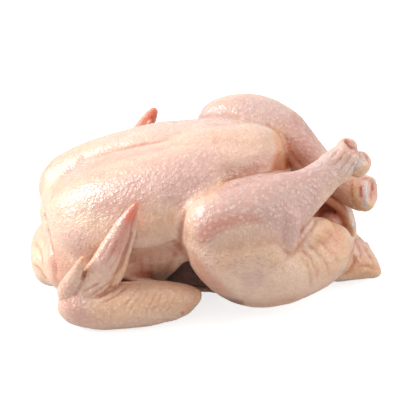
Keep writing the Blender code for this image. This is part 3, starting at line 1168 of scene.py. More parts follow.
@dataclass(frozen=True)
class RawSkinFinish:
    """Thin wet skin over pale muscle and fat, with the tissue under it showing through."""

    cream: tuple = tone(232, 199, 172)
    pink: tuple = tone(206, 134, 114)
    tissue: tuple = (
        (Tissue.LILAC, tone(203, 163, 158), 0.85),
        (Tissue.PINK, pink, 0.85),
        (Tissue.FAT, tone(234, 185, 124), 0.8),
        (Tissue.YOLK, tone(222, 176, 92), 0.9),
        (Tissue.CORAL, tone(222, 104, 72), 0.95),
        (Tissue.RAW, tone(134, 40, 28), 0.95),
        (Tissue.GRISTLE, tone(222, 214, 216), 0.9),
        # painted shade: a dark brown laid where shade falls under the body
        (Tissue.SHADE, tone(98, 60, 44), 1.0),
    )
    # painted crease shade, multiplied over the colour where the skin folds in
    crease: tuple = tone(208, 132, 98)
    follicle: tuple = tone(244, 222, 208)
    streak: tuple = tone(150, 112, 90)
    vein: tuple = tone(192, 136, 118)
    blotches: tuple = (22.0, 0.42, 0.66)      # scale, and the noise that counts as 0 and as 1
    spots: tuple = (95.0, 0.40, 0.70)
    speckles: tuple = (330.0, 0.45, 0.70)
    blotch_share: float = 0.2
    spot_share: float = 0.18
    speckle_share: float = 0.27
    pimple_share: float = 0.3
    follicle_share: float = 0.36
    streak_share: float = 0.5
    crease_shade_share: float = 0.75
    bare_follicles: float = 0.15              # how strongly follicles show where the skin isn't pimpled
    pebble: tuple = (235.0, 0.6)              # scale and bend of the follicle tops
    fine_pebble: tuple = (400.0, 1.2)
    fine_height: float = 0.36
    pimple_height: float = 0.4
    crease_scale: float = 110.0
    pore_scale: float = 600.0
    dash_turn: tuple = (0.0, 0.5, 0.25)
    dash_scale: tuple = (150.0, 420.0, 420.0)
    wet_blotches: float = 0.45
    dry_roughness: float = 0.46
    wet_roughness: float = 0.2
    gloss: float = 1.0
    relief: float = 0.0009
    coat: float = 0.15
    coat_roughness: float = 0.3
    scatter: float = 0.22
    scatter_depth: float = 0.004
    scatter_colour: tuple = (1.0, 0.45, 0.3)

    def build(self, mottle: bpy.types.NodeTree, grain: bpy.types.NodeTree,
              pebbles: bpy.types.NodeTree) -> bpy.types.Material:
        """Build the skin's material.

        Args:
            mottle: the shared group of blotches.
            grain: the shared group of fine relief.
            pebbles: the shared group of follicle tops.

        Returns:
            The material.
        """
        material = bpy.data.materials.new("raw_skin")
        material.use_nodes = True
        wiring = Wiring(material.node_tree)
        shader = material.node_tree.nodes["Principled BSDF"]
        place = wiring.add("ShaderNodeTexCoord").outputs["Object"]
        wide, small, speckle = (
            wiring.group(mottle, {"Place": place, "Scale": scale, "Low": low, "High": high})
            for scale, low, high in (self.blotches, self.spots, self.speckles))
        colour = wiring.blend(wiring.math("MULTIPLY", wide, self.blotch_share), self.cream, self.pink)
        for tissue, paint, strength in self.tissue:
            share = wiring.math("MULTIPLY", wiring.mask(tissue.value), strength)
            colour = wiring.blend(share, colour, paint)
        colour = wiring.blend(wiring.math("MULTIPLY", small, self.spot_share), colour, self.vein)
        colour = wiring.blend(wiring.math("MULTIPLY", speckle, self.speckle_share), colour, self.vein)
        pimpled = wiring.mask(Tissue.PIMPLED.value)
        pebble, fine = (wiring.group(pebbles, {"Place": place, "Scale": scale, "Bend": bend})
                        for scale, bend in (self.pebble, self.fine_pebble))
        colour = wiring.blend(wiring.math("MULTIPLY", pimpled, self.pimple_share), colour, self.vein)
        tops = wiring.math("MULTIPLY", pebble, wiring.math("ADD", pimpled, self.bare_follicles))
        colour = wiring.blend(wiring.math("MULTIPLY", tops, self.follicle_share), colour, self.follicle)
        stretched = wiring.add("ShaderNodeMapping", {
            "Vector": place, "Rotation": self.dash_turn, "Scale": self.dash_scale})
        dashes = wiring.add("ShaderNodeTexVoronoi", {"Vector": stretched.outputs["Vector"], "Scale": 1.0})
        dash = wiring.add("ShaderNodeMapRange", {
            "Value": dashes.outputs["Distance"], "From Min": 0.15, "From Max": 0.4,
            "To Min": 1.0, "To Max": 0.0})
        streaks = wiring.math("MULTIPLY", dash.outputs["Result"], wiring.mask(Tissue.STREAKED.value))
        colour = wiring.blend(wiring.math("MULTIPLY", streaks, self.streak_share), colour, self.streak)
        # darken the colour with painted crease shade
        fold = wiring.math("MULTIPLY", wiring.mask(Tissue.CREASE.value), self.crease_shade_share)
        colour = wiring.blend(fold, colour, self.crease, "MULTIPLY")
        wiring.tree.links.new(colour, shader.inputs["Base Color"])
        damp = wiring.math("MULTIPLY", wide, self.wet_blotches)
        wet = wiring.math("ADD", damp, wiring.mask(Tissue.WET.value))
        rough = wiring.add("ShaderNodeMapRange", {
            "Value": wet, "To Min": self.dry_roughness, "To Max": self.wet_roughness})
        wiring.tree.links.new(rough.outputs["Result"], shader.inputs["Roughness"])
        height = wiring.group(grain, {
            "Place": place, "Creases": self.crease_scale, "Pores": self.pore_scale})
        height = wiring.math("ADD", height, wiring.math("MULTIPLY", fine, self.fine_height))
        raised = wiring.math("MULTIPLY", pebble, wiring.math(
            "ADD", wiring.math("MULTIPLY", pimpled, self.pimple_height), self.bare_follicles))
        height = wiring.math("ADD", height, raised)
        bump = wiring.add("ShaderNodeBump", {"Height": height, "Strength": 1.0, "Distance": self.relief})
        wiring.tree.links.new(bump.outputs["Normal"], shader.inputs["Normal"])
        shader.inputs["Specular IOR Level"].default_value = self.gloss
        # no coat where shade is painted
        shaded = wiring.math("SUBTRACT", 1.0, wiring.mask(Tissue.SHADE.value))
        wiring.tree.links.new(wiring.math("MULTIPLY", shaded, self.coat), shader.inputs["Coat Weight"])
        shader.inputs["Coat Roughness"].default_value = self.coat_roughness
        shader.inputs["Subsurface Weight"].default_value = self.scatter
        shader.inputs["Subsurface Radius"].default_value = self.scatter_colour
        shader.inputs["Subsurface Scale"].default_value = self.scatter_depth
        return material


# --------------------------------------------------------------------------- the bird

SHANK_PATCHES = (
    Patch(Tissue.LILAC, ((310, 184), (320, 176), (330, 168)), 14, 0.8),
    Patch(Tissue.GRISTLE, ((312, 166), (322, 160), (335, 149)), 8, 0.5),
)


@dataclass
class BodySkin:
    """The skin of breast, back, legs, tail and vent, as one fused piece."""

    voxel: float = 1.86
    torso: Torso = field(default_factory=Torso)
    vent: Vent = field(default_factory=Vent)
    legs: Legs = field(default_factory=Legs)
    follicles: GooseFlesh = field(default_factory=GooseFlesh)
    rounds: int = 2
    swellings: Swellings = ((46, 1.4, 3.1), (15, 0.5, 8.7), (6.5, 0.25, 4.4))
    # how much painted crease shade each mm of hollow makes
    crease_shade_gain: float = 5.0
    hollow_tints: tuple[tuple[Tissue, float], ...] = ((Tissue.FAT, 0.6), (Tissue.CORAL, 0.35))
    strokes: tuple[Stroke, ...] = (
        Stroke("keel_groove", Relief.GROOVE, ((56, 186), (66, 172), (84, 158), (117, 149), (156, 141),
            (190, 133)), 4.5, 1.5, tint=0.1),
        Stroke("keel_front", Relief.GROOVE, ((45, 219), (47, 208), (52, 194), (60, 180)), 5.5, 1.0,
            tint=0.1),
        Stroke("keel_ridge", Relief.RIDGE, ((200, 131), (226, 126), (245, 125), (265, 127)), 4.0, 0.8),
        Stroke("pectoral_ledge", Relief.LEDGE, ((122, 244), (134, 248), (147, 248), (160, 246),
            (169, 241), (178, 234)), 6.0, 4.2, reach=30, tint=0.4, mirror=True),
        Stroke("leg_top_edge", Relief.LEDGE, ((298, 168), (285, 170), (270, 173), (258, 174), (245, 177),
            (232, 180), (221, 185)), 1.8, 6.5, reach=20, tint=0.4),
        Stroke("leg_crest", Relief.RIDGE, ((220, 189), (235, 183), (250, 180), (266, 177), (282, 174),
            (298, 170)), 3.6, 1.8),
        Stroke("breast_leg_crease", Relief.GROOVE, ((188, 206), (185, 214), (182, 224), (180, 234),
            (179, 246), (181, 260)), 2.4, 2.6, tint=0.6, mirror=True),
        Stroke("web_ridge", Relief.RIDGE, ((217, 188), (222, 180), (227, 171), (234, 161)), 1.7, 1.3),
        Stroke("shoulder_pit", Relief.GROOVE, ((44, 214), (45, 218), (47, 222)), 3.0, 2.4, tint=0.6),
        Stroke("neck_edge", Relief.GROOVE, ((47, 222), (51, 240), (54, 262), (58, 283)), 3.2, 2.2,
            tint=0.35),
        Stroke("neck_fold_a", Relief.GROOVE, ((33, 240), (40, 250), (44, 268)), 1.8, 1.4, tint=0.3),
        Stroke("neck_fold_b", Relief.GROOVE, ((30, 262), (38, 268), (46, 278), (52, 281)), 1.8, 1.6,
            tint=0.4),
        Stroke("side_fold", Relief.GROOVE, ((180, 243), (172, 262), (166, 275), (160, 284)), 4.0, 1.6,
            tint=0.25, mirror=True),
        Stroke("calf_rear", Relief.GROOVE, ((325, 200), (319, 213), (314, 225), (306, 237), (300, 245),
            (293, 254)), 1.8, 1.2, tint=0.4),
        Stroke("calf_lower", Relief.LEDGE, ((270, 234), (279, 242), (287, 250), (294, 255)), 1.6, 0.6,
            tint=0.15),
        *folds("wall_fold", 1.8, 0.08, (
            (0.5, ((142, 250), (141, 262), (143, 276))),
            (0.5, ((152, 250), (151, 264), (152, 278))),
            (0.5, ((162, 247), (160, 262), (160, 278))),
            (0.5, ((172, 243), (168, 258), (166, 272)))), mirror=True),
        *folds("flank", 2.0, 0.2, (
            (0.8, ((297, 252), (306, 262), (311, 277), (310, 292))),
            (0.8, ((299, 248), (310, 258), (317, 272), (318, 286))),
            (0.8, ((304, 242), (317, 252), (327, 265), (330, 280)))), mirror=True),
        Stroke("flank_d", Relief.GROOVE, ((310, 236), (323, 244), (335, 256), (342, 268)), 2.2, 0.7,
            tint=0.2, mirror=True),
        Stroke("flank_e", Relief.GROOVE, ((316, 228), (330, 234), (341, 244), (347, 256)), 2.2, 0.6,
            tint=0.15, mirror=True),
        Stroke("tail_root", Relief.GROOVE, ((354, 252), (355, 263), (350, 272), (340, 277)), 2.4, 2.2,
            tint=0.9, mirror=True),
        Stroke("tail_fold_a", Relief.GROOVE, ((357, 242), (361, 252), (361, 262)), 1.8, 1.4, tint=0.35,
            mirror=True),
        Stroke("tail_fold_b", Relief.GROOVE, ((363, 244), (368, 254), (374, 262)), 1.8, 1.1, tint=0.3,
            mirror=True),
        Stroke("tail_fold_c", Relief.GROOVE, ((356, 268), (366, 266), (376, 270)), 1.8, 1.2, tint=0.35,
            mirror=True),
        Stroke("tail_fold_d", Relief.RIDGE, ((358, 272), (368, 271), (376, 273)), 2.2, 1.0, mirror=True),
        Stroke("tail_knob", Relief.RIDGE, ((354, 237), (359, 237), (363, 242)), 2.6, 1.3, mirror=True),
        Stroke("tail_bump_a", Relief.RIDGE, ((367, 248), (371, 256)), 2.6, 1.2, mirror=True),
        Stroke("tail_bump_b", Relief.RIDGE, ((373, 262), (379, 268)), 2.4, 1.1, mirror=True),
        Stroke("tail_bump_c", Relief.RIDGE, ((357, 256), (362, 264)), 2.4, 1.0, mirror=True),
        Stroke("far_leg_fold", Relief.GROOVE, ((289, 150), (296, 160), (306, 168)), 2.2, 1.6, tint=0.4),
    )
    patches: tuple[Patch, ...] = (
        Patch(Tissue.LILAC, ((110, 200), (150, 178), (205, 160)), 20, 0.8, mirror=True),
        Patch(Tissue.LILAC, ((70, 172), (110, 158), (160, 150)), 10, 0.5, mirror=True),
        Patch(Tissue.FAT, ((221, 184), (226, 178), (231, 168)), 3, 0.8),
        Patch(Tissue.CORAL, ((226, 182), (230, 177), (235, 171)), 3, 0.35),
        Patch(Tissue.PIMPLED, ((235, 140), (262, 140)), 18, 0.7),
        Patch(Tissue.FAT, ((36, 245), (44, 270)), 8, 0.3, mirror=True),
        Patch(Tissue.PINK, ((50, 245), (52, 262), (56, 280)), 7, 0.5, mirror=True),
        Patch(Tissue.FAT, ((236, 107), (232, 113), (236, 120)), 6, 0.3),
        Patch(Tissue.FAT, ((300, 256), (318, 262), (334, 268)), 10, 0.6, mirror=True),
        Patch(Tissue.FAT, ((325, 225), (338, 232), (346, 244)), 9, 0.6, mirror=True),
        Patch(Tissue.PINK, ((355, 262), (366, 258), (372, 264)), 8, 0.5, mirror=True),
        Patch(Tissue.LILAC, ((245, 105), (275, 112), (300, 130), (312, 150)), 16, 0.9),
        Patch(Tissue.PIMPLED, ((70, 200), (150, 170), (230, 145)), 60, 0.8, mirror=True),
        Patch(Tissue.PIMPLED, ((200, 230), (260, 210), (310, 190)), 40, 1.0, mirror=True),
        Patch(Tissue.PIMPLED, ((225, 115), (265, 110), (300, 150)), 30, 1.0),
        Patch(Tissue.PIMPLED, ((310, 240), (335, 245), (345, 260)), 25, 0.6, mirror=True),
        # painted shade low on the thigh, near the floor
        Patch(Tissue.CREASE, ((240, 303), (262, 305), (290, 300)), 8, 0.5, mirror=True),
        Patch(Tissue.PIMPLED, ((360, 245), (370, 262)), 14, 0.6, mirror=True),
        Patch(Tissue.STREAKED, ((215, 262), (245, 268), (275, 262)), 18, 0.9, mirror=True),
        Patch(Tissue.WET, ((75, 185), (92, 190), (96, 208)), 20, 0.9, mirror=True),
        Patch(Tissue.WET, ((215, 195), (235, 184), (255, 178)), 16, 0.7, mirror=True),
        Patch(Tissue.WET, ((190, 215), (205, 200), (220, 190)), 10, 0.3, mirror=True),
        Patch(Tissue.WET, ((330, 150), (340, 142)), 10, 0.5, mirror=True),
        *SHANK_PATCHES,
        # thins the painted crease shade along the drumstick's crest
        Patch(Tissue.CREASE, ((222, 188), (235, 183), (250, 180), (266, 177), (282, 174), (296, 172)),
            3.6, -0.9),
    )
    regions: tuple[Region, ...] = (
        # painted shadow in the gap under the body, which is also pressed in
        Region(Tissue.SHADE, 1.0, 5, ((156, 310), (160, 283), (166, 278), (174, 272), (182, 263),
            (198, 256), (220, 276), (244, 310)), depth=7.0, within=82.0),
        # painted shadow over the thigh's underside
        Region(Tissue.SHADE, 0.75, 5, ((178, 262), (190, 262), (205, 281), (218, 292), (246, 299),
            (246, 312), (190, 312))),
        # painted shadow in the strip behind the forearm, a little pressed in
        Region(Tissue.SHADE, 1.0, 3, ((118, 277), (135, 279), (160, 283), (165, 290), (118, 288)),
            depth=3.0),
        Region(Tissue.PINK, 0.12, 10, ((124, 250), (150, 250), (168, 246), (180, 236), (183, 256),
            (172, 276), (160, 286), (126, 284))),
        Region(Tissue.LILAC, 1.0, 3, ((214, 193), (223, 183), (245, 174), (270, 170), (300, 167),
            (320, 158), (328, 172), (300, 186), (262, 194), (225, 204))),
        # painted shade on the thigh's lower left, which turns from the light
        Region(Tissue.CREASE, 0.6, 8, ((183, 246), (196, 246), (212, 268), (234, 290), (250, 304),
            (216, 298), (196, 282))),
        Region(Tissue.LILAC, 0.95, 14, ((150, 178), (185, 164), (215, 164), (224, 184), (196, 202),
            (180, 214), (150, 206))),
        # painted shade between the neck flap and the breast
        Region(Tissue.CREASE, 0.5, 8, ((46, 238), (58, 243), (78, 262), (72, 288), (48, 288))),
        # painted sheen: a pale wash along the lit top of the breast and far leg
        Region(Tissue.GRISTLE, 0.32, 16, ((60, 160), (110, 128), (160, 114), (225, 92), (270, 88),
            (300, 112), (280, 128), (262, 134), (200, 136), (150, 144), (100, 160), (70, 190), (56, 200)),
            mirror=False),
        Region(Tissue.LILAC, 0.6, 10, ((56, 222), (92, 226), (94, 250), (76, 264), (56, 246))),
        Region(Tissue.PINK, 0.45, 8, ((28, 184), (46, 176), (44, 206), (42, 250), (28, 250))),
        Region(Tissue.LILAC, 0.85, 10, ((188, 216), (198, 203), (225, 192), (262, 184), (300, 178),
            (322, 176), (328, 190), (322, 208), (308, 236), (294, 254), (277, 240), (262, 229),
            (243, 224), (225, 234), (210, 244), (194, 240))),
        Region(Tissue.PINK, 1.0, 9, ((192, 238), (198, 222), (218, 213), (245, 210), (268, 215),
            (262, 226), (243, 228), (228, 232), (214, 244), (200, 250))),
        Region(Tissue.FAT, 0.35, 10, ((205, 250), (225, 238), (245, 232), (268, 236), (294, 258),
            (290, 276), (262, 262), (238, 268), (215, 276))),
        Region(Tissue.LILAC, 0.6, 10, ((235, 272), (255, 264), (275, 272), (262, 292), (240, 292))),
        Region(Tissue.FAT, 0.35, 12, ((120, 210), (150, 205), (180, 205), (186, 214), (180, 232),
            (160, 242), (130, 242))),
        Region(Tissue.PINK, 0.3, 12, ((116, 216), (150, 212), (184, 214), (180, 232), (160, 244),
            (130, 246))),
        Region(Tissue.PINK, 0.6, 10, ((288, 138), (302, 128), (326, 150), (312, 166), (290, 172))),
        # painted shade low on the far leg
        Region(Tissue.CREASE, 0.3, 9, ((290, 156), (302, 150), (318, 160), (308, 168), (290, 172))),
        Region(Tissue.PINK, 0.6, 8, ((230, 180), (238, 164), (256, 150), (284, 148), (286, 168),
            (262, 173)), mirror=False),
        # painted shade on the breast just above the near drumstick
        Region(Tissue.CREASE, 0.5, 6, ((230, 181), (238, 168), (256, 160), (272, 160), (274, 171),
            (262, 174)), mirror=False),
        Region(Tissue.FAT, 1.0, 4, ((266, 122), (284, 128), (295, 145), (295, 169), (285, 172),
            (274, 173), (274, 145)), mirror=False),
        Region(Tissue.CORAL, 0.36, 4, ((273, 130), (294, 138), (296, 169), (285, 172), (274, 173)),
            mirror=False),
        Region(Tissue.PINK, 0.2, 8, ((300, 160), (326, 148), (330, 160), (322, 174), (304, 182))),
        Region(Tissue.FAT, 0.9, 9, ((306, 236), (320, 214), (334, 216), (350, 230), (356, 250),
            (352, 266), (332, 268), (312, 256))),
        Region(Tissue.CORAL, 0.28, 12, ((312, 238), (322, 220), (336, 218), (350, 232), (354, 250),
            (340, 262), (322, 258))),
        Region(Tissue.FAT, 0.85, 7, ((350, 256), (364, 248), (376, 256), (386, 276), (374, 280),
            (340, 280))),
        Region(Tissue.CORAL, 0.12, 7, ((350, 256), (364, 248), (376, 256), (386, 276), (374, 280),
            (340, 280))),
        Region(Tissue.PINK, 0.3, 6, ((350, 234), (364, 236), (374, 250), (364, 258), (352, 256))),
        Region(Tissue.RAW, 0.6, 3, ((318, 206), (326, 202), (333, 207), (332, 220), (319, 222)),
            mirror=False),
        Region(Tissue.LILAC, 0.9, 3, ((330, 206), (342, 206), (346, 218), (338, 224), (329, 218)),
            mirror=False),
        Region(Tissue.CORAL, 0.35, 3, ((330, 206), (342, 206), (346, 218), (338, 224), (329, 218)),
            mirror=False),
        Region(Tissue.FAT, 1.0, 3, ((324, 198), (331, 194), (346, 204), (354, 222), (356, 240),
            (349, 238), (342, 216), (330, 205)), mirror=False),
        Region(Tissue.CORAL, 0.3, 3, ((324, 198), (331, 194), (344, 206), (350, 226), (345, 232),
            (340, 216), (330, 205)), mirror=False),
        # painted highlight along the vent's glossy right edge
        Region(Tissue.GRISTLE, 1.0, 2.5, ((344, 204), (349, 207), (355, 220), (356, 232), (351, 230),
            (349, 217)), mirror=False),
    )

    def plain(self) -> bpy.types.Object:
        """Fuse the body's layers, in mm."""
        body = self.torso.layer(self.legs.roots())
        body = self.vent.open(body)
        body = self.legs.add_to(body, [self.vent.far_rim, self.vent.lump])
        arms = [self.torso.upper_arm.on_side(side) for side in (NEAR, FAR)]
        return fuse("body_skin", [body, *arms], self.voxel, self.rounds)

    def build(self, eye: Eye) -> Skin:
        """Build the body's skin in metres, carved and painted.

        Args:
            eye: the camera whose view places the folds.

        Returns:
            The finished skin.
        """
        skin = Skin(self.plain(), eye)
        skin.swell(self.swellings)
        for region in self.regions:
            if region.depth:
                skin.press(region)
        skin.refresh()
        skin.fold(self.strokes)
        skin.shade_creases(self.crease_shade_gain)
        hollow = self.vent.inside(skin.drawn())
        for tissue, amount in self.hollow_tints:
            skin.fill(tissue, hollow * amount)
        for region in self.regions:
            skin.flood(region)
        for patch in self.patches:
            skin.paint(patch)
        skin.lie_flat()
        skin.write()
        return skin


@dataclass
class HockSkin:
    """The end of one drumstick, finer than the body that it caps."""

    name: str
    muscles: tuple[Muscle, ...]
    strokes: tuple[Stroke, ...]
    patches: tuple[Patch, ...]
    cut: Cut | None = None
    voxel: float = 0.8
    rounds: int = 3
    cut_rounds: int = 3        # rounds of smoothing after the cut
    swellings: Swellings = ((7, 0.5, 6.2), (3.2, 0.25, 2.7))
    # how much painted crease shade each mm of hollow makes
    crease_shade_gain: float = 8.0

    def build(self, eye: Eye) -> Skin:
        """Build the hock's skin in metres, carved and painted.

        Args:
            eye: the camera whose view places the folds.

        Returns:
            The finished skin.
        """
        skin = Skin(fuse(self.name, list(self.muscles), self.voxel, self.rounds), eye)
        if self.cut:
            skin.slice_flat(self.cut)
            skin.points = skin.spread(skin.points, self.cut_rounds)
            skin.plant()
        skin.swell(self.swellings)
        skin.fold(self.strokes)
        skin.plant()
        skin.shade_creases(self.crease_shade_gain)
        for patch in self.patches:
            skin.paint(patch)
        skin.write()
        return skin


def near_hock() -> HockSkin:
    """The near hock: two condyles with a red pit between them."""
    legs = Legs()
    shank = ((108, -48.5, 134.7, 10, 14, 16, -28), (116, -43, 138, 12, 16, 17, -25),
             (124, -37, 142.5, 12.8, 16.8, 16.8, -22), *legs.near.sections[-3:])
    muscles = (Muscle("shank", shank), legs.upper_condyle, legs.lower_condyle)
    strokes = (
        Stroke("pit", Relief.GROOVE, ((345, 139), (349, 144), (353, 149)), 2.2, 2.6, tint=0.7),
        Stroke("notch", Relief.GROOVE, ((352, 146), (357, 148), (363, 150)), 1.6, 1.4, tint=0.4),
        Stroke("slit", Relief.GROOVE, ((361, 150), (366, 156), (369, 163)), 1.1, 1.3, tint=0.7),
        Stroke("lip", Relief.RIDGE, ((358, 152), (362, 157), (365, 163)), 1.4, 0.8),
        *folds("crease", 1.1, 0.25, (
            (0.7, ((347, 150), (341, 158), (333, 167))),
            (0.8, ((352, 153), (346, 163), (337, 173))),
            (0.7, ((356, 158), (351, 168), (343, 178))))),
        Stroke("crease_d", Relief.GROOVE, ((341, 146), (336, 153), (329, 160)), 1.1, 0.6, tint=0.2),
    )
    patches = (
        *SHANK_PATCHES,
        Patch(Tissue.PINK, ((334, 162), (342, 152), (350, 144)), 6, 0.4),
        Patch(Tissue.GRISTLE, ((340, 166), (350, 168), (356, 164)), 6, 0.55),
        Patch(Tissue.PIMPLED, ((320, 175), (345, 160)), 30, 0.7),
        Patch(Tissue.PINK, ((352, 150), (360, 152), (367, 160)), 4, 0.6),
        Patch(Tissue.RAW, ((347, 142), (352, 148)), 2.4, 0.85),
        Patch(Tissue.CORAL, ((345, 140), (354, 149)), 4, 0.6),
        Patch(Tissue.GRISTLE, ((351, 170), (357, 164), (363, 158)), 4, 0.8),
        Patch(Tissue.GRISTLE, ((357, 144), (361, 149)), 2.4, 0.6),
        Patch(Tissue.YOLK, ((354, 177), (362, 172), (367, 165)), 3, 0.8),
        Patch(Tissue.WET, ((356, 150), (366, 160)), 7, 0.8),
    )
    return HockSkin("near_hock", muscles, strokes, patches)


def far_hock() -> HockSkin:
    """The far hock: sawn across, with a strip of cartilage between porous bone."""
    legs = Legs()
    end = ((118, 36, 114, 13, 14, 19), (129, 29, 109.5, 14.6, 15.6, 19.4), *legs.far.sections[-3:])
    strokes = (
        Stroke("skin_edge", Relief.LEDGE, ((356, 178), (353, 188), (353, 198), (357, 208)), 1.4, 1.0,
            reach=8, tint=0.4),
        Stroke("cartilage", Relief.RIDGE, ((366, 184), (365, 194), (366, 205)), 2.3, 0.9),
        Stroke("bone_rear", Relief.GROOVE, ((371, 184), (372, 190), (371, 197)), 2.0, 0.9, tint=0.4),
        Stroke("bone_front", Relief.GROOVE, ((361, 186), (360, 192), (361, 198)), 1.5, 0.9, tint=0.4),
        Stroke("rim_top", Relief.RIDGE, ((358, 181), (364, 177), (371, 179), (376, 186)), 1.8, 1.0),
        *folds("pore", 0.9, 0.8, (
            (1.0, ((361, 180), (363, 181))),
            (1.0, ((366, 178), (368, 179))),
            (1.0, ((371, 181), (372, 183))))),
    )
    patches = (
        Patch(Tissue.PINK, ((356, 180), (366, 177), (375, 184), (376, 196)), 3.5, 0.7),
        Patch(Tissue.PINK, ((326, 196), (336, 188), (346, 184)), 7, 0.35),
        Patch(Tissue.CORAL, ((340, 200), (349, 194), (352, 186)), 5, 0.3),
        Patch(Tissue.PINK, ((370, 184), (370, 202)), 8, 0.25),
        Patch(Tissue.PIMPLED, ((330, 196), (345, 192)), 20, 0.8),
        Patch(Tissue.YOLK, ((333, 201), (340, 204), (348, 207), (356, 210), (364, 210), (371, 206)), 6,
            1.0),
        Patch(Tissue.YOLK, ((353, 184), (353, 194), (357, 204)), 3.4, 0.9),
        Patch(Tissue.RAW, ((361, 189), (361, 193)), 1.5, 0.6),
        Patch(Tissue.RAW, ((372, 185), (373, 189)), 1.9, 0.7),
        Patch(Tissue.RAW, ((370, 194), (371, 197)), 1.6, 0.6),
        Patch(Tissue.RAW, ((374, 193), (374, 194)), 1.2, 0.5),
        Patch(Tissue.CORAL, ((361, 187), (361, 196)), 2.2, 0.9),
        Patch(Tissue.CORAL, ((372, 184), (371, 198)), 3, 0.9),
        Patch(Tissue.GRISTLE, ((366, 183), (365, 194), (366, 208)), 2.3, 1.0),
        Patch(Tissue.WET, ((366, 184), (366, 206)), 10, 0.7),
    )
    return HockSkin("far_hock", (Muscle("stump", end, end=BLUNT_END),), strokes, patches, legs.far_cut)


@dataclass
class WingSkin:
    """One wing's own fine skin."""

    wing: Wing = field(default_factory=Wing)
    follicles: GooseFlesh = field(
        default_factory=lambda: GooseFlesh(spacing=3.8, radius=1.8, height=0.45, seed=11))
    swellings: Swellings = ((20, 0.8, 5.2), (7, 0.3, 1.9))
    # how much painted crease shade each mm of hollow makes
    crease_shade_gain: float = 6.0
    strokes: tuple[Stroke, ...] = (
        Stroke("hand_groove", Relief.GROOVE, ((139, 207), (135, 218), (131, 232), (126, 250), (121, 264),
            (117, 275)), 1.6, 1.6, tint=1.0),
        Stroke("thumb_crotch", Relief.GROOVE, ((87, 264), (85, 272), (82, 281)), 1.6, 1.6, tint=0.4),
        *folds("wrist_fold", 1.4, 0.2, (
            (1.3, ((113, 280), (104, 287), (90, 296))),
            (1.3, ((120, 284), (110, 291), (95, 300))),
            (1.1, ((101, 282), (91, 288), (82, 293))),
            (1.1, ((127, 286), (117, 295), (102, 304))))),
        Stroke("wrist_fold_e", Relief.GROOVE, ((112, 287), (104, 293), (92, 299)), 1.2, 0.8, tint=0.2),
        *folds("arm_fold", 1.6, 0.15, (
            (0.5, ((144, 288), (138, 300), (128, 312))),
            (0.7, ((157, 290), (152, 302), (144, 314))),
            (0.45, ((170, 292), (166, 304), (158, 314))),
            (0.75, ((138, 288), (132, 298), (122, 308))),
            (0.45, ((150, 289), (144, 300), (136, 312))),
            (0.65, ((163, 291), (158, 303), (150, 314))),
            (0.55, ((176, 294), (172, 304), (165, 314))))),
        *folds("hand_fold", 1.6, 0.2, (
            (0.7, ((112, 238), (106, 250), (98, 262))),
            (0.8, ((120, 235), (114, 250), (104, 268))),
            (0.8, ((124, 242), (118, 258), (107, 274))),
            (0.7, ((127, 250), (121, 266), (111, 279))))),
        Stroke("elbow_pit", Relief.GROOVE, ((181, 312), (183, 314), (185, 316)), 2.2, 1.6, tint=0.9),
    )
    patches: tuple[Patch, ...] = (
        Patch(Tissue.CORAL, ((137, 202), (134, 209), (130, 218)), 5, 1.0),
        Patch(Tissue.PINK, ((131, 215), (124, 232), (115, 250)), 8, 1.0),
        Patch(Tissue.PINK, ((120, 235), (110, 255), (98, 270)), 12, 0.3),
        Patch(Tissue.LILAC, ((80, 300), (75, 315), (95, 320)), 12, 0.6),
        Patch(Tissue.FAT, ((105, 312), (130, 303), (160, 300), (190, 302)), 16, 0.75),
        Patch(Tissue.PINK, ((64, 285), (68, 305), (82, 318)), 9, 0.5),
        Patch(Tissue.CORAL, ((196, 297), (190, 306)), 6, 0.25),
        Patch(Tissue.PINK, ((68, 278), (74, 268), (80, 260)), 6, 0.3),
        Patch(Tissue.FAT, ((80, 258), (84, 262), (86, 270)), 3.5, 1.0),
        Patch(Tissue.CORAL, ((81, 256), (84, 262)), 3, 0.4),
        Patch(Tissue.FAT, ((138, 222), (133, 250), (122, 272), (112, 287)), 3, 1.0),
        Patch(Tissue.LILAC, ((126, 222), (114, 242), (98, 264)), 7, 0.8),
        Patch(Tissue.WET, ((120, 225), (105, 248), (92, 268)), 10, 0.8),
        Patch(Tissue.PIMPLED, ((80, 300), (130, 310), (180, 308)), 40, 1.0),
    )
    far_patches: tuple[Patch, ...] = (
        Patch(Tissue.CORAL, ((155, 108), (150, 116)), 9, 1.0),
        Patch(Tissue.PINK, ((145, 120), (138, 127)), 9, 0.9),
    )

    def build(self, side: int, eye: Eye, twin: Skin | None = None) -> Skin:
        """Build the wing of one side in metres, carved and painted.

        Args:
            side: NEAR or FAR.
            eye: the camera whose view places the folds.
            twin: the near wing's skin, where this is the far one.

        Returns:
            The finished skin.
        """
        skin = Skin(self.wing.build(side), eye, twin)
        skin.swell(self.swellings)
        skin.fold(self.strokes)
        skin.shade_creases(self.crease_shade_gain)
        for patch in self.patches:
            skin.paint(patch)
        if twin:
            skin.twin = None
            for patch in self.far_patches:
                skin.paint(patch)
        skin.lie_flat()
        skin.write()
        return skin


@dataclass(frozen=True)
class Lamp:
    """A square soft light that faces the bird, in metres and watts."""

    name: str
    place: tuple[float, float, float]
    side: float
    power: float
    aim: tuple[float, float, float] = (0, 0, 0.08)

    def hang(self) -> None:
        """Put the light in the scene."""
        data = bpy.data.lights.new(self.name, "AREA")
        data.shape = "SQUARE"
        data.size = self.side
        data.energy = self.power
        lamp = bpy.data.objects.new(self.name, data)
        bpy.context.scene.collection.objects.link(lamp)
        lamp.location = self.place
        lamp.rotation_mode = "QUATERNION"
        lamp.rotation_quaternion = (Vector(self.aim) - Vector(self.place)).to_track_quat("-Z", "Y")


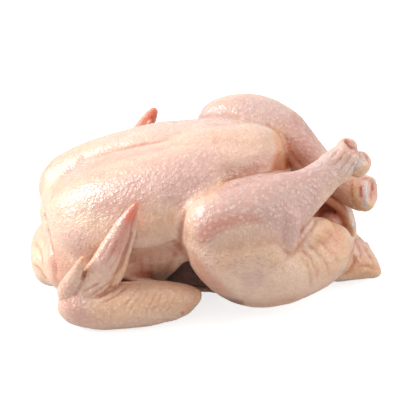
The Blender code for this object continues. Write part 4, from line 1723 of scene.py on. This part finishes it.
@dataclass
class Studio:
    """A white floor and soft light from the upper left."""

    floor_side: float = 12.0
    lamps: tuple[Lamp, ...] = (
        Lamp("key", (-1.0, -0.06, 0.74), 0.6, 11.7), Lamp("glint", (-1.0, -0.28, 0.62), 0.32, 3.0),
        Lamp("top", (-0.1, 0.1, 1.3), 1.5, 3.0), Lamp("back", (0.0, 1.4, 0.6), 1.6, 5.5),
        Lamp("rear", (1.1, -0.3, 0.7), 0.8, 5.0), Lamp("low", (1.0, 0.25, 0.12), 0.7, 1.6))
    sky: float = 0.6
    floor_albedo: float = 0.56
    floor_glow: float = 0.04       # the floor's own light, as the bird gets it
    seen_glow: float = 0.75        # the same, as the camera gets it, for a white ground
    floor_roughness: float = 0.9
    floor_gloss: float = 0.1

    def _floor(self) -> bpy.types.Object:
        """Lay the floor."""
        cage = bmesh.new()
        bmesh.ops.create_grid(cage, x_segments=1, y_segments=1, size=self.floor_side / 2)
        mesh = bpy.data.meshes.new("floor")
        cage.to_mesh(mesh)
        cage.free()
        floor = add_object("floor", mesh)
        paint = bpy.data.materials.new("white_floor")
        paint.use_nodes = True
        shader = paint.node_tree.nodes["Principled BSDF"]
        shader.inputs["Base Color"].default_value = grey(self.floor_albedo)
        shader.inputs["Roughness"].default_value = self.floor_roughness
        shader.inputs["Specular IOR Level"].default_value = self.floor_gloss
        wiring = Wiring(paint.node_tree)
        seen = wiring.add("ShaderNodeLightPath").outputs["Is Camera Ray"]
        glow = wiring.blend(seen, grey(self.floor_glow), grey(self.seen_glow))
        wiring.tree.links.new(glow, shader.inputs["Emission Color"])
        shader.inputs["Emission Strength"].default_value = 1.0
        mesh.materials.append(paint)
        return floor

    def build(self) -> bpy.types.Object:
        """Set up the lights, the surroundings and the floor, and return the floor."""
        for lamp in self.lamps:
            lamp.hang()
        world = bpy.data.worlds.new("surroundings")
        world.use_nodes = True
        sky = world.node_tree.nodes["Background"]
        sky.inputs["Color"].default_value = (1.0, 1.0, 1.0, 1.0)
        sky.inputs["Strength"].default_value = self.sky
        bpy.context.scene.world = world
        bpy.context.scene.view_settings.view_transform = "Standard"
        return self._floor()


@dataclass
class Turkey:
    """The whole dressed bird."""

    body: BodySkin = field(default_factory=BodySkin)
    wing: WingSkin = field(default_factory=WingSkin)
    hocks: tuple[HockSkin, ...] = field(default_factory=lambda: (near_hock(), far_hock()))
    finish: RawSkinFinish = field(default_factory=RawSkinFinish)

    def build(self, eye: Eye, effects: SharedEffects) -> list[bpy.types.Object]:
        """Build every piece of the bird.

        Args:
            eye: the camera whose view places the folds.
            effects: the shared shader groups.

        Returns:
            The finished pieces.
        """
        skin = self.finish.build(effects.mottle(), effects.grain(), effects.pebbles())
        body = self.body.build(eye)
        near = self.wing.build(NEAR, eye)
        far = self.wing.build(FAR, eye, near)
        near.thing.name, far.thing.name = "near_wing", "far_wing"
        body.thing.name = "body_skin"
        pieces = [self.body.follicles.grow(body.thing, skin)]
        pieces += [self.wing.follicles.grow(limb.thing, skin) for limb in (near, far)]
        for hock in self.hocks:
            cap = hock.build(eye).thing
            cap.name = hock.name
            cap.data.materials.append(skin)
            pieces.append(cap)
        for piece in pieces:
            piece.data.shade_smooth()
        return pieces


def main() -> None:
    """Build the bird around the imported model."""
    logging.basicConfig(level=logging.INFO, format="%(message)s")
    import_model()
    eye = Eye()
    eye.build()
    Studio().build()
    for piece in Turkey().build(eye, SharedEffects()):
        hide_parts(NODE)
        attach(piece, BODY)
        log.info("%s: %d faces", piece.name, len(piece.data.polygons))


if __name__ == "__main__":
    main()
